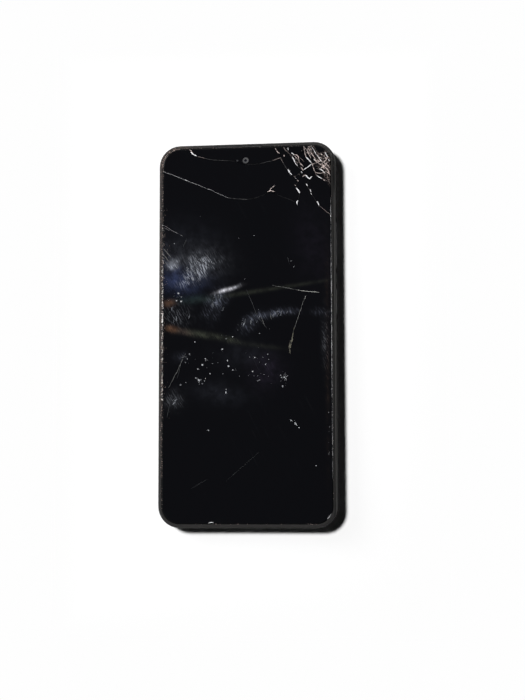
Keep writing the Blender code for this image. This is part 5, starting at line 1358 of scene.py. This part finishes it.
@dataclass
class CrushedCorner:
    """The finer breakage between the cracks of the struck corner, with glass splinters.

    Attributes:
        seed: Seed of the places.
        low: Lower left corner of the box that they are drawn from, in millimetres.
        high: Upper right corner of it.
        splinters: How many splinters there are.
        tops: Lowest and highest z of their tops.
    """

    seed: int = 7
    low: Point = (25.0, 63.5)
    high: Point = (37.2, 81.6)
    splinters: int = 56
    tops: Point = (9.41, 9.45)

    def inside(self, x: float, y: float) -> bool:
        """Tell whether a point lies in the crushed area.

        Args:
            x: In millimetres.
            y: In millimetres.

        Returns:
            Whether it does.
        """
        below = 0.86 * x + 0.51 * y > 63.6
        beyond = 0.93 * x + 0.36 * y > 53.8
        rim = 0.62 * x + 0.78 * y < 84.0
        whole = math.hypot((x - 32.0) / 2.3, (y - 79.7) / 2.2) > 1.0
        return below and beyond and rim and whole and Bench.on_glass(x, y)

    def lines(self, chance: random.Random, count: int, lean: float, spread: float,
              length: Tuple[float, float], width: Tuple[float, float]) -> List[Stroke]:
        """Draw short fractures over the crushed area.

        Args:
            chance: Source of their places.
            count: How many.
            lean: Their direction in degrees.
            spread: How far the direction varies.
            length: Shortest and longest.
            width: Narrowest and widest.

        Returns:
            The strokes.
        """
        made: List[Stroke] = []
        while len(made) < count:
            x = chance.uniform(self.low[0], self.high[0])
            y = chance.uniform(self.low[1], self.high[1])
            turn = math.radians(lean + chance.uniform(-spread, spread))
            reach = chance.uniform(*length) / 2
            dx, dy = math.cos(turn) * reach, math.sin(turn) * reach
            middle = (x + chance.uniform(-0.2, 0.2), y + chance.uniform(-0.2, 0.2))
            ends = ((x - dx, y - dy), middle, (x + dx, y + dy))
            if all(self.inside(*end) for end in ends):
                made.append(Stroke(ends, chance.uniform(*width), 0.4))
        return made

    def build(self) -> None:
        """Model and dress the crushed corner."""
        chance = random.Random(self.seed)
        tables = (
            ("crushed_glass_bright", 10, 7, (0.8, 2.2), (0.16, 0.32), 1.0),
            ("crushed_glass_soft", 16, 10, (0.8, 2.4), (0.12, 0.22), 0.22),
        )
        for name, along, across, length, width, level in tables:
            lines = self.lines(chance, along, -58.0, 14.0, length, width)
            lines += self.lines(chance, across, 28.0, 26.0, length, width)
            finish = Fractured(name, level=level, tint=FACET_ROSE, broken=0.38)
            Bench.fractures(name, lines, self.seed, finish)
        places = []
        while len(places) < self.splinters:
            x = chance.uniform(self.low[0], self.high[0])
            y = chance.uniform(self.low[1], self.high[1])
            if self.inside(x, y):
                half = chance.uniform(0.08, 0.24)
                top = chance.uniform(*self.tops)
                turn = chance.uniform(0.0, 360.0)
                width = half * chance.uniform(0.4, 0.9)
                places.append((x, y, Bench.FOOT, top, half, width, turn))
        patterns = [Bench.splinter(seed) for seed in (3, 8, 13)]
        piece = Bench.scatter("glass_splinters", patterns, places, self.seed + 2)
        finish = Fractured("splinter_glass", level=0.7, tint=FACET_ROSE, broken=0.50)
        Bench.dress(piece, finish, Body.PHONE, "cover_glass")


@dataclass
class FaceMarks:
    """Scratches, wiping strokes painted bright as glare, specks and dust on the glass.

    Attributes:
        seed: Seed of the places.
        low: Height of the feet of the specks, in millimetres.
        dust_heights: Lowest and highest z of the fine dust.
        scratches: Plain scratches.
        keen: Those that glint.
        pale: Those that hardly show.
        tail: The frayed end of the longest one.
        specks: For each speck x, y, half length, half width and turn in degrees.
    """

    seed: int = 23
    low: float = 9.37
    dust_heights: Point = (9.38, 9.43)
    scratches: Tuple[Stroke, ...] = read_strokes("""
    0.2 0.4  11.3 20.4  15.8 19.5  22.2 18.2
    0.24 0.7  25.5 15.6  24.4 13  22.9 8.5  20.6 2.1
    0.22 0.4  -26.5 -8.4  -30.2 -16.2  -33.8 -23
    0.26 0.4  6.2 7.2  8 2.8
    0.24 0.4  10.2 8.6  10.7 5.7
    0.3 0.4  -36.2 37.4  -32.9 33.4
    0.26 0.4  -36.3 34.8  -33.4 31.2
    0.18 0.4  -36.2 32.2  -34.6 30.4
    """)
    keen: Tuple[Stroke, ...] = read_strokes("""
    0.27 0.6  22.2 18.2  25.8 17.6  31.3 17
    0.28 0.5  25.6 15.6  25.2 14.4
    """)
    pale: Tuple[Stroke, ...] = read_strokes("""
    0.22 0.5  0.1 18.7  2.7 12.4  4.7 7.2  6.2 5.4  8.7 2.1
    0.22 0.4  -27.6 -9.1  -30.1 -19.1
    0.18 0.4  -33 -28  -34.4 -36
    0.1 0.4  -24 -66  -17 -62
    0.1 0.4  -9 -63  6 -50
    0.2 0.4  17.8 32.6  18.6 29.4
    0.18 0.4  -27.6 38  -26 41.6
    """)
    tail: Tuple[Stroke, ...] = read_strokes("""
    0.5 0.5  20.6 2.1  19.9 -0.9  19.5 -2.9  19.2 -5.4
    0.46 0.5  20 -2.4  19 -5  18.5 -8.6
    0.4 0.4  18.9 -3.4  18.4 -6.2  18.9 -9.2
    """)
    specks: Table = read_rows("""
    -10.6 -6.7 0.52 0.34 20 | -19.1 -13.3 0.5 0.34 30 | -17.8 -10.7 0.3 0.22 0
    -21.1 -15 0.34 0.22 70 | -8.2 -11.6 0.55 0.2 100 | -7.8 -14 0.46 0.42 0
    -5.9 -15.7 0.34 0.3 0 | -15.8 -17.1 0.44 0.22 140 | -20.8 -19.7 0.6 0.34 130
    -21.9 -18.9 0.3 0.2 50 | -19.1 -21.4 0.34 0.26 0 | -18.2 -20.2 0.24 0.18 0
    -8.9 -25.2 0.7 0.26 95 | -8.7 -24 0.26 0.2 0 | 3.5 -10.4 0.34 0.22 30
    2.6 -16.3 0.36 0.24 0 | 9.1 -9.1 0.24 0.18 0 | 8.2 -13.4 0.34 0.2 60
    -22.4 -3.4 0.3 0.2 0 | -8.7 -2.2 0.3 0.16 30 | -6 -1.4 0.24 0.18 0
    -24.8 -8.6 0.34 0.22 0 | -25.7 -10.7 0.3 0.24 0 | -29.7 17.8 0.5 0.32 150
    -28.4 14.3 0.55 0.3 10 | -30.4 14.6 0.3 0.22 0 | 15.5 -22.8 0.34 0.28 0
    5.2 -20.2 0.8 0.14 20 | 18.9 -37.3 0.44 0.24 150 | 21 -38.8 0.95 0.26 130
    22.4 -40.4 0.36 0.22 150 | -16.5 -41.3 0.32 0.26 0 | -3.3 41.1 0.14 0.12 0
    3.3 42.1 0.18 0.12 0 | 19.4 30.8 0.36 0.18 60 | 20.5 28.2 0.24 0.16 0
    -28.5 -21.8 0.4 0.18 0 | -26.2 -20.8 0.26 0.18 0 | -31.5 39.5 0.18 0.12 40
    29.5 -56.5 0.26 0.2 0
    """)

    def wiping(self, chance: random.Random) -> List[Stroke]:
        """Draw the short parallel wiping strokes in the haze, which are painted bright as glare.

        Args:
            chance: Source of their places.

        Returns:
            The strokes.
        """
        made: List[Stroke] = []
        patches = (
            (-19.4, 31.4, 5.0, 1.8, -62.0, 22), (-21.6, 27.6, 4.6, 2.0, -62.0, 20),
            (-24.6, 24.2, 3.0, 1.4, -60.0, 8), (-32.0, 29.2, 2.0, 1.6, -48.0, 6),
            (-13.6, 13.6, 3.0, 4.6, 78.0, 12), (1.4, 5.0, 3.6, 1.8, 74.0, 10),
            (11.0, 8.2, 6.0, 1.0, 70.0, 10), (-30.0, 8.0, 3.6, 3.4, 84.0, 8),
            (-31.4, -28.6, 2.2, 2.2, 44.0, 5),
        )
        for x, y, half_x, half_y, lean, count in patches:
            for _ in range(count):
                px = x + chance.gauss(0.0, half_x * 0.5)
                py = y + chance.gauss(0.0, half_y * 0.5)
                turn = math.radians(lean + chance.uniform(-7.0, 7.0))
                reach = chance.uniform(0.4, 1.2)
                dx, dy = math.cos(turn) * reach, math.sin(turn) * reach
                if px - abs(dx) > -36.2:
                    ends = ((px - dx, py - dy), (px + dx, py + dy))
                    made.append(Stroke(ends, chance.uniform(0.12, 0.22), 0.3))
        return made

    def dust(self, chance: random.Random) -> List[Sequence[float]]:
        """Place the specks and the fine dust.

        Args:
            chance: Source of the dust's places.

        Returns:
            A place for each.
        """
        places: List[Sequence[float]] = []
        for x, y, half_length, half_width, turn in self.specks:
            places.append((x, y, self.low, Bench.RIDGE, half_length, half_width, turn))
        clusters = (
            (16.3, -19.0, 1.4, 1.1, 26, 1.7), (15.6, -19.6, 2.4, 2.6, 16, 1.0),
            (9.0, -12.0, 7.0, 6.0, 9, 1.0), (-17.0, -13.0, 8.0, 7.0, 8, 1.0),
            (-20.2, -20.0, 2.0, 1.4, 14, 1.3), (20.0, -38.2, 1.4, 1.4, 6, 1.0),
            (-29.4, 16.0, 2.0, 1.6, 8, 1.0), (-2.0, -4.0, 20.0, 34.0, 14, 1.0),
            (4.0, -18.0, 8.0, 5.0, 9, 1.0), (35.2, -48.0, 0.4, 9.0, 8, 1.0),
            (-26.4, -9.6, 2.0, 2.4, 8, 1.0), (-17.4, -11.4, 0.8, 0.8, 6, 1.0),
        )
        for x, y, spread_x, spread_y, count, size in clusters:
            for _ in range(count):
                px = x + chance.gauss(0.0, spread_x * 0.55)
                py = y + chance.gauss(0.0, spread_y * 0.55)
                if abs(px) < 36.0 and abs(py) < 54.0:
                    half = chance.uniform(0.06, 0.16) * size
                    turn = chance.uniform(0.0, 180.0)
                    places.append((px, py, *self.dust_heights, half, half * 0.7, turn))
        return places

    def build(self) -> None:
        """Model and dress the marks."""
        chance = random.Random(self.seed)
        tables = (
            ("scratches", self.scratches, "scratch_mid", 0.17, (0.94, 0.95, 0.92), 0.36),
            ("scratches_keen", self.keen, "scratch_keen", 0.50, (1.0, 1.0, 0.94), 0.30),
            ("scratches_pale", self.pale, "scratch_pale", 0.055, (0.90, 0.95, 1.0), 0.30),
            # Wiping strokes: wipe marks painted bright with the glare that the lamp's light makes
            # in them.
            ("wiping_strokes", self.wiping(chance), "wiping_mark", 0.42, (0.86, 0.91, 1.0), 0.40),
        )
        for name, lines, finish, level, tint, broken in tables:
            look = Fractured(finish, level=level, tint=tint, broken=broken)
            Bench.fractures(name, lines, self.seed, look)
        look = Fractured("scratch_tail", level=0.21, tint=(1.0, 0.95, 0.74), broken=0.42)
        Bench.fractures("scratch_tail", self.tail, self.seed + 4, look)
        patterns = [Bench.crumb(seed) for seed in (2, 5, 9)]
        piece = Bench.scatter("dust_specks", patterns, self.dust(chance), self.seed)
        look = Grit("dust_cool", pale=(0.52, 0.54, 0.56), dark=(0.06, 0.06, 0.07))
        Bench.dress(piece, look, Body.PHONE, "cover_glass")


@dataclass
class EdgeDirt:
    """Crumbs packed along the rim of the glass, and a painted highlight along the right-hand edge
    of the glass.

    Attributes:
        seed: Seed of the crumbs' places.
        rim: How far the side rims lie from the middle, in millimetres.
        lip: How far off the lip of the band begins.
        foot: Height of the feet of the crumbs in the rim.
        heaped: Height of the tops of crumbs on the glass.
        sunk: Height of the tops of crumbs against the lip.
        spilt: Lowest and highest z of the fine crumbs that lie further in.
        frost: The stretches of the edge that carry the painted highlight.
        sides: For the top, right and bottom rims, the count of crumbs, the stretch they lie
            on, the rim's place, their spread, their greatest half width, and whether the
            stretch runs along y.
    """

    seed: int = 61
    rim: float = 36.68
    lip: float = 36.8
    foot: float = 9.05
    heaped: float = 9.44
    sunk: float = 9.32
    spilt: Point = (9.33, 9.43)
    frost: Tuple[Stroke, ...] = read_strokes("""
    0.14 0.3  36.48 58  36.5 40
    0.24 0.5  36.5 40  36.5 10  36.5 -28
    0.13 0.3  36.5 -28  36.5 -62
    0.4 0.3  34.2 -78.7  35.2 -77.6  35.8 -76.4
    """)
    sides: Tuple[Tuple[int, Point, float, float, float, bool], ...] = (
        (46, (-30.0, 24.0), 80.95, 0.10, 0.14, False),
        (34, (-72.0, 60.0), 36.68, 0.10, 0.14, True),
        (30, (-24.0, 30.0), -80.95, 0.08, 0.13, False),
    )

    def run(
        self, chance: random.Random, top: float, bottom: float, count: int, size: float,
        spread: float = 0.2,
    ) -> List[Sequence[float]]:
        """Place crumbs down the left rim.

        Args:
            chance: Source of their places.
            top: Where the run begins.
            bottom: Where it ends.
            count: How many crumbs.
            size: Usual half length of one.
            spread: How far they stray from the rim.

        Returns:
            A place for each.
        """
        places: List[Sequence[float]] = []
        for _ in range(count):
            y = chance.uniform(bottom, top)
            half = size * chance.uniform(0.5, 1.5)
            x = -self.rim + chance.gauss(0.08, spread)
            high = self.heaped if x > -self.lip else self.sunk
            turn = chance.uniform(0.0, 180.0)
            places.append((x, y, self.foot, high, half, half * 0.8, turn))
        return places

    def crumbs(self, chance: random.Random) -> List[Sequence[float]]:
        """Place the dirt all round: down the left, round the upper left and thinly elsewhere.

        Args:
            chance: Source of the places.

        Returns:
            A place for each crumb.
        """
        places = self.run(chance, 59.0, 18.0, 66, 0.15, 0.3)
        places += self.run(chance, 18.0, -30.0, 90, 0.17, 0.28)
        places += self.run(chance, -30.0, -64.0, 80, 0.14, 0.28)
        places += self.run(chance, 74.0, 58.0, 30, 0.12)
        places += self.run(chance, -64.0, -76.0, 14, 0.11)
        for _ in range(70):
            turn = math.radians(chance.uniform(92.0, 180.0))
            x = -CORNER_X + math.cos(turn) * RIM_ROUND + chance.gauss(0.0, 0.25)
            y = CORNER_Y + math.sin(turn) * RIM_ROUND + chance.gauss(0.0, 0.25)
            half = chance.uniform(0.08, 0.24)
            turn = chance.uniform(0.0, 180.0)
            places.append((x, y, self.foot, Bench.FACE, half, half * 0.8, turn))
        for count, (low, high), level, spread, greatest, upright in self.sides:
            for _ in range(count):
                along = chance.uniform(low, high)
                off = level + chance.gauss(0.0, spread)
                half = chance.uniform(0.05, greatest)
                x, y = (off, along) if upright else (along, off)
                halves = (half * 0.7, half * 1.5) if upright else (half * 1.6, half * 0.7)
                places.append((x, y, self.foot, Bench.FACE, *halves, 0.0))
        for _ in range(120):
            y = chance.uniform(-36.0, 58.0)
            x = -self.rim + 0.3 + min(chance.expovariate(1.2), 3.0)
            half = chance.uniform(0.05, 0.15)
            turn = chance.uniform(0.0, 180.0)
            places.append((x, y, *self.spilt, half, half * 0.6, turn))
        return places

    def build(self) -> None:
        """Model and dress the rim dirt."""
        chance = random.Random(self.seed)
        patterns = [Bench.crumb(seed) for seed in (12, 17, 21)]
        piece = Bench.scatter("rim_dirt", patterns, self.crumbs(chance), self.seed)
        finish = Grit("dust_warm", pale=(0.55, 0.45, 0.41), dark=(0.12, 0.08, 0.07))
        Bench.dress(piece, finish, Body.PHONE, "frame_plastic")
        pale = self.run(chance, 18.0, -29.0, 120, 0.20, 0.14)
        pale += self.run(chance, 36.0, 18.0, 46, 0.18, 0.22)
        pale += self.run(chance, 58.0, 36.0, 14, 0.14, 0.4)
        pale += self.run(chance, 9.2, 5.4, 16, 0.34, 0.10)
        patterns = [Bench.crumb(seed) for seed in (32, 37, 41)]
        piece = Bench.scatter("rim_glass_dust", patterns, pale, self.seed + 1)
        finish = Grit("dust_pale", pale=(0.96, 0.94, 0.92), dark=(0.34, 0.28, 0.27))
        Bench.dress(piece, finish, Body.PHONE, "cover_glass")
        # Painted highlight: pale ridges along the right-hand edge of the glass and round its
        # lower right corner stand for light glancing off it.
        finish = Fractured("edge_frost", level=0.56, tint=(0.97, 0.97, 1.0), broken=0.40)
        Bench.fractures("frosted_glass_edge", self.frost, self.seed, finish)


@dataclass
class SelfieCamera:
    """The front camera as it shows in the glass: a thin ring round a dark lens.

    Attributes:
        x: Middle, in millimetres.
        y: Middle, in millimetres.
        radius: Outer radius of the ring.
        sensor_x: Middle of the light sensor's spot.
        depth: Height of a disc before it is cut, and height of its middle.
    """

    x: float = -0.3
    y: float = 75.1
    radius: float = 1.30
    sensor_x: float = -3.9
    depth: Point = (0.08, 9.395)

    def disc(
        self, name: str, x: float, radius: float, insets: Sequence[Point],
    ) -> bpy.types.Object:
        """Model a turned disc set into the face.

        Args:
            name: The piece's name.
            x: Its middle.
            radius: Its outer radius.
            insets: For each step inwards, the width of the step and its fall.

        Returns:
            The piece.
        """
        Bench.deselect()
        height, middle = self.depth
        bpy.ops.mesh.primitive_cylinder_add(
            vertices=40, radius=radius * MM, depth=height * MM,
            location=(x * MM, self.y * MM, middle * MM),
        )
        piece = bpy.context.object
        Bench.top_faces(piece)
        bpy.ops.mesh.select_mode(type="FACE")
        for width, fall in insets:
            bpy.ops.mesh.inset(thickness=width * MM, depth=0.0)
            bpy.ops.transform.translate(value=(0.0, 0.0, -fall * MM))
        bpy.ops.object.mode_set(mode="OBJECT")
        return Bench.settle(piece, name)

    def build(self) -> None:
        """Model and dress the ring, the lens and the light sensor's spot."""
        steps = ((0.12, -0.008), (0.42, 0.0), (0.08, 0.03))
        ring = self.disc("camera_ring", self.x, self.radius, steps)
        finish = Grained(
            "camera_ring_grey", colour=(0.088, 0.088, 0.090), second=(0.046, 0.047, 0.050),
            gloss=(0.28, 0.5), grain=2.0,
        )
        Bench.dress(ring, finish, Body.PHONE, "lens_black")
        lens = self.disc("camera_lens", self.x, 0.62, ((0.14, -0.006), (0.16, -0.002)))
        Bench.dress(lens, Lensed("camera_lens_coat"), Body.PHONE, "lens_black")
        spot = self.disc("sensor_spot", self.sensor_x, 0.42, ((0.10, 0.0), (0.10, 0.004)))
        finish = Grained(
            "sensor_grey", colour=(0.045, 0.047, 0.050), second=(0.016, 0.018, 0.020),
            gloss=(0.3, 0.5), grain=2.0,
        )
        Bench.dress(spot, finish, Body.PHONE, "lens_black")


@dataclass
class Shell:
    """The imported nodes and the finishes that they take."""

    steel: Finish = Grained(
        "steel_brushed", colour=(0.52, 0.52, 0.53), second=(0.36, 0.36, 0.37), gloss=(0.26, 0.44),
        metallic=1.0, grain=1.6, stretch=(0.2, 3.0, 1.0), relief_mm=0.006,
    )
    dark_steel: Finish = Grained(
        "steel_dark", colour=(0.20, 0.20, 0.21), second=(0.12, 0.12, 0.13), gloss=(0.34, 0.5),
        metallic=1.0, grain=2.0,
    )
    key: Finish = Grained(
        "key_plastic_worn", colour=(0.018, 0.018, 0.020), second=(0.045, 0.044, 0.044),
        gloss=(0.28, 0.48), grain=1.8, relief_mm=0.015,
    )
    socket: Finish = Grained(
        "socket_black", colour=(0.014, 0.014, 0.014), second=(0.026, 0.025, 0.024),
        gloss=(0.45, 0.6), grain=2.6,
    )
    panel: Finish = Grained(
        "panel_black", colour=(0.006, 0.006, 0.008), second=(0.010, 0.010, 0.013),
        gloss=(0.22, 0.34), grain=1.0, relief_mm=0.004,
    )
    foam: Finish = Grained(
        "foam_black", colour=(0.014, 0.014, 0.014), second=(0.024, 0.023, 0.022),
        gloss=(0.85, 0.95), grain=4.0, relief_mm=0.05,
    )
    film: Finish = Grained(
        "film_amber", colour=(0.22, 0.085, 0.014), second=(0.15, 0.050, 0.010),
        gloss=(0.35, 0.5), grain=0.8, stretch=(3.0, 0.1, 1.0), relief_mm=0.01,
    )
    pouch: Finish = Grained(
        "pouch_foil", colour=(0.075, 0.077, 0.082), second=(0.045, 0.046, 0.050),
        gloss=(0.3, 0.5), grain=0.5, relief_mm=0.05,
    )
    resin: Finish = Grained(
        "lamp_resin", colour=(0.80, 0.66, 0.20), second=(0.70, 0.56, 0.16),
        gloss=(0.3, 0.45), grain=2.4, relief_mm=0.02,
    )

    def finishes(self) -> Dict[str, Finish]:
        """Material slot of the record to the finish that stands for it."""
        return {
            "cover_glass": FaceGlass(),
            "frame_plastic": BandPlastic(),
            "cover_plastic": CoverPlastic(),
            "key_plastic": self.key,
            "display_black": self.panel,
            "foam": self.foam,
            "mesh_grey": Woven("mesh_woven"),
            "steel": self.steel,
            "dark_steel": self.dark_steel,
            "board_green": Circuit("board_tracks"),
            "cable_amber": self.film,
            "lens_black": Lensed("lens_barrel"),
            "lamp_yellow": self.resin,
            "foil_grey": self.pouch,
            "socket_plastic": self.socket,
        }

    def dress(self) -> None:
        """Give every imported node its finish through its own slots."""
        finishes = self.finishes()
        for name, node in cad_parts.items():
            for place in node.material_slots:
                slot = place.material.name.split(".")[0]
                finish = RearWindow() if name == "camera_window" else finishes[slot]
                place.material = finish.material()
            LOG.info("%s: %s", name, ", ".join(m.name for m in node.data.materials))


@dataclass
class Studio:
    """Floor, soft lamps, pale surroundings with a dark ceiling, and the camera.

    Attributes:
        azimuth: Camera's lean towards +X, in degrees.
        tilt: Camera's lean towards -Y, in degrees.
        roll: Camera's roll, in degrees.
        distance: From the target to the camera.
        focal_px: Focal length in pixels of the 700 pixel side.
        shift: The lens's shift.
        target: Point that the camera's axis passes through.
        whitening: How far beside the phone the floor begins to be seen plain white, and
            how far off it is so wholly, in millimetres.
        lamps: For each lamp its name, place, side, power and whether it is mirrored.
    """

    azimuth: float = 7.0
    tilt: float = 5.5
    roll: float = -0.197
    distance: float = 0.6
    focal_px: float = 1407.46
    shift: Point = (-0.020, -0.020)
    target: Spot = (0.012881, -0.001348, 0.0092)
    whitening: Point = (6.0, 48.0)
    lamps: Tuple[Tuple[str, Spot, float, float, bool], ...] = (
        ("key_lamp", (-0.96, 0.72, 2.40), 0.42, 86.0, False),
        ("side_lamp", (-0.85, 0.55, 0.62), 0.50, 2.6, True),
    )

    def build(self) -> None:
        """Set up the studio."""
        self.floor()
        self.world()
        for name, place, size, power, mirrored in self.lamps:
            self.lamp(name, place, size, power, mirrored)
        self.camera()

    def floor(self) -> None:
        """Lay the pale floor: it keeps the shadow, and further off it is seen plain white."""
        Bench.deselect()
        bpy.ops.mesh.primitive_plane_add(size=FLOOR_SIDE, location=(0.0, 0.0, -FLOOR_DROP))
        plane = Bench.settle(bpy.context.object, "floor")
        sheet = MaterialSheet("floor_pale")
        tone = sheet.noise(0.01, 2.0)
        sheet.feed("Base Color", sheet.mix(tone, (0.90, 0.90, 0.90), (0.92, 0.92, 0.92)))
        sheet.feed("Roughness", 0.9)
        sheet.feed("Specular IOR Level", 0.0)
        seen = sheet.node("ShaderNodeLightPath", output="Is Camera Ray")
        beside = sheet.maths("ABSOLUTE", sheet.x) - HALF_WIDTH
        beyond = sheet.maths("ABSOLUTE", sheet.y) - HALF_LENGTH
        white = seen * beside.most(beyond).ramp(*self.whitening)
        glow = sheet.node("ShaderNodeEmission", {}, {"Color": (0.991, 0.991, 0.991, 1.0)})
        mixed = sheet.node(
            "ShaderNodeMixShader", {},
            {0: white, 1: Wire(sheet, sheet.shader.outputs["BSDF"]), 2: glow},
        )
        out = next(node for node in sheet.tree.nodes if node.type == "OUTPUT_MATERIAL")
        sheet.tree.links.new(mixed.socket, out.inputs["Surface"])
        plane.data.materials.append(sheet.material)

    def world(self) -> None:
        """Surround the phone: seen, pale under a dark ceiling; as light, dim above the floor."""
        world = bpy.data.worlds.new("studio")
        bpy.context.scene.world = world
        world.use_nodes = True
        world.node_tree.nodes.clear()
        sheet = NodeSheet(world.node_tree)
        place = sheet.node("ShaderNodeTexCoord", output="Generated")
        height = sheet.node("ShaderNodeSeparateXYZ", values={0: place}, output="Z")
        stops = ((0.25, (0.99, 0.99, 0.99)), (0.72, (0.020, 0.021, 0.026)))
        shown = sheet.node("ShaderNodeValToRGB", {"stops": stops}, {"Fac": height})
        rays = ("Is Camera Ray", "Is Glossy Ray", "Is Transmission Ray")
        camera, glossy, passed = (sheet.node("ShaderNodeLightPath", output=ray) for ray in rays)
        span = {"From Min": -0.05, "From Max": 0.05, "To Min": 0.80, "To Max": 0.004}
        fill = sheet.node("ShaderNodeMapRange", values={"Value": height, **span})
        colour = sheet.mix(camera.most(glossy).most(passed), fill, shown)
        sky = sheet.node("ShaderNodeBackground", values={"Color": colour})
        sheet.node("ShaderNodeOutputWorld", values={"Surface": sky})

    def lamp(
        self, name: str, place: Spot, size: float, power: float, mirrored: bool,
    ) -> None:
        """Hang a soft square lamp aimed at the phone.

        Args:
            name: The lamp's name.
            place: Where it hangs.
            size: Side of its square.
            power: In watts.
            mirrored: Whether glossy surfaces show it.
        """
        light = bpy.data.lights.new(name, "AREA")
        light.shape = "SQUARE"
        light.size = size
        light.energy = power
        holder = Bench.linked(name, light)
        holder.location = place
        holder.rotation_euler = Vector(place).to_track_quat("Z", "Y").to_euler()
        holder.visible_glossy = mirrored

    def camera(self) -> None:
        """Place the camera as the photograph was taken."""
        away = Vector((
            math.tan(math.radians(self.azimuth)), -math.tan(math.radians(self.tilt)), 1.0,
        )).normalized()
        right = Vector((0.0, 1.0, 0.0)).cross(away).normalized()
        up = away.cross(right)
        turn = math.radians(self.roll)
        right, up = (
            right * math.cos(turn) + up * math.sin(turn),
            up * math.cos(turn) - right * math.sin(turn),
        )
        lens = bpy.data.cameras.new("camera")
        lens.sensor_width = SENSOR_MM
        lens.lens = self.focal_px / PICTURE_PX * SENSOR_MM
        lens.shift_x, lens.shift_y = self.shift
        lens.clip_start = 0.05
        holder = Bench.linked("camera", lens)
        pose = Matrix((right, up, away)).transposed().to_4x4()
        pose.translation = Vector(self.target) + away * self.distance
        holder.matrix_world = pose
        bpy.context.scene.camera = holder
        bpy.context.scene.view_settings.view_transform = "Standard"


def main() -> None:
    """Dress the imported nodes, then add the damage, the marks, the dirt and the studio."""
    logging.basicConfig(level=logging.INFO, format="%(name)s: %(message)s")
    Shell().dress()
    CrackedFace().build()
    CrushedCorner().build()
    FaceMarks().build()
    EdgeDirt().build()
    SelfieCamera().build()
    Studio().build()


if __name__ == "__main__":
    main()
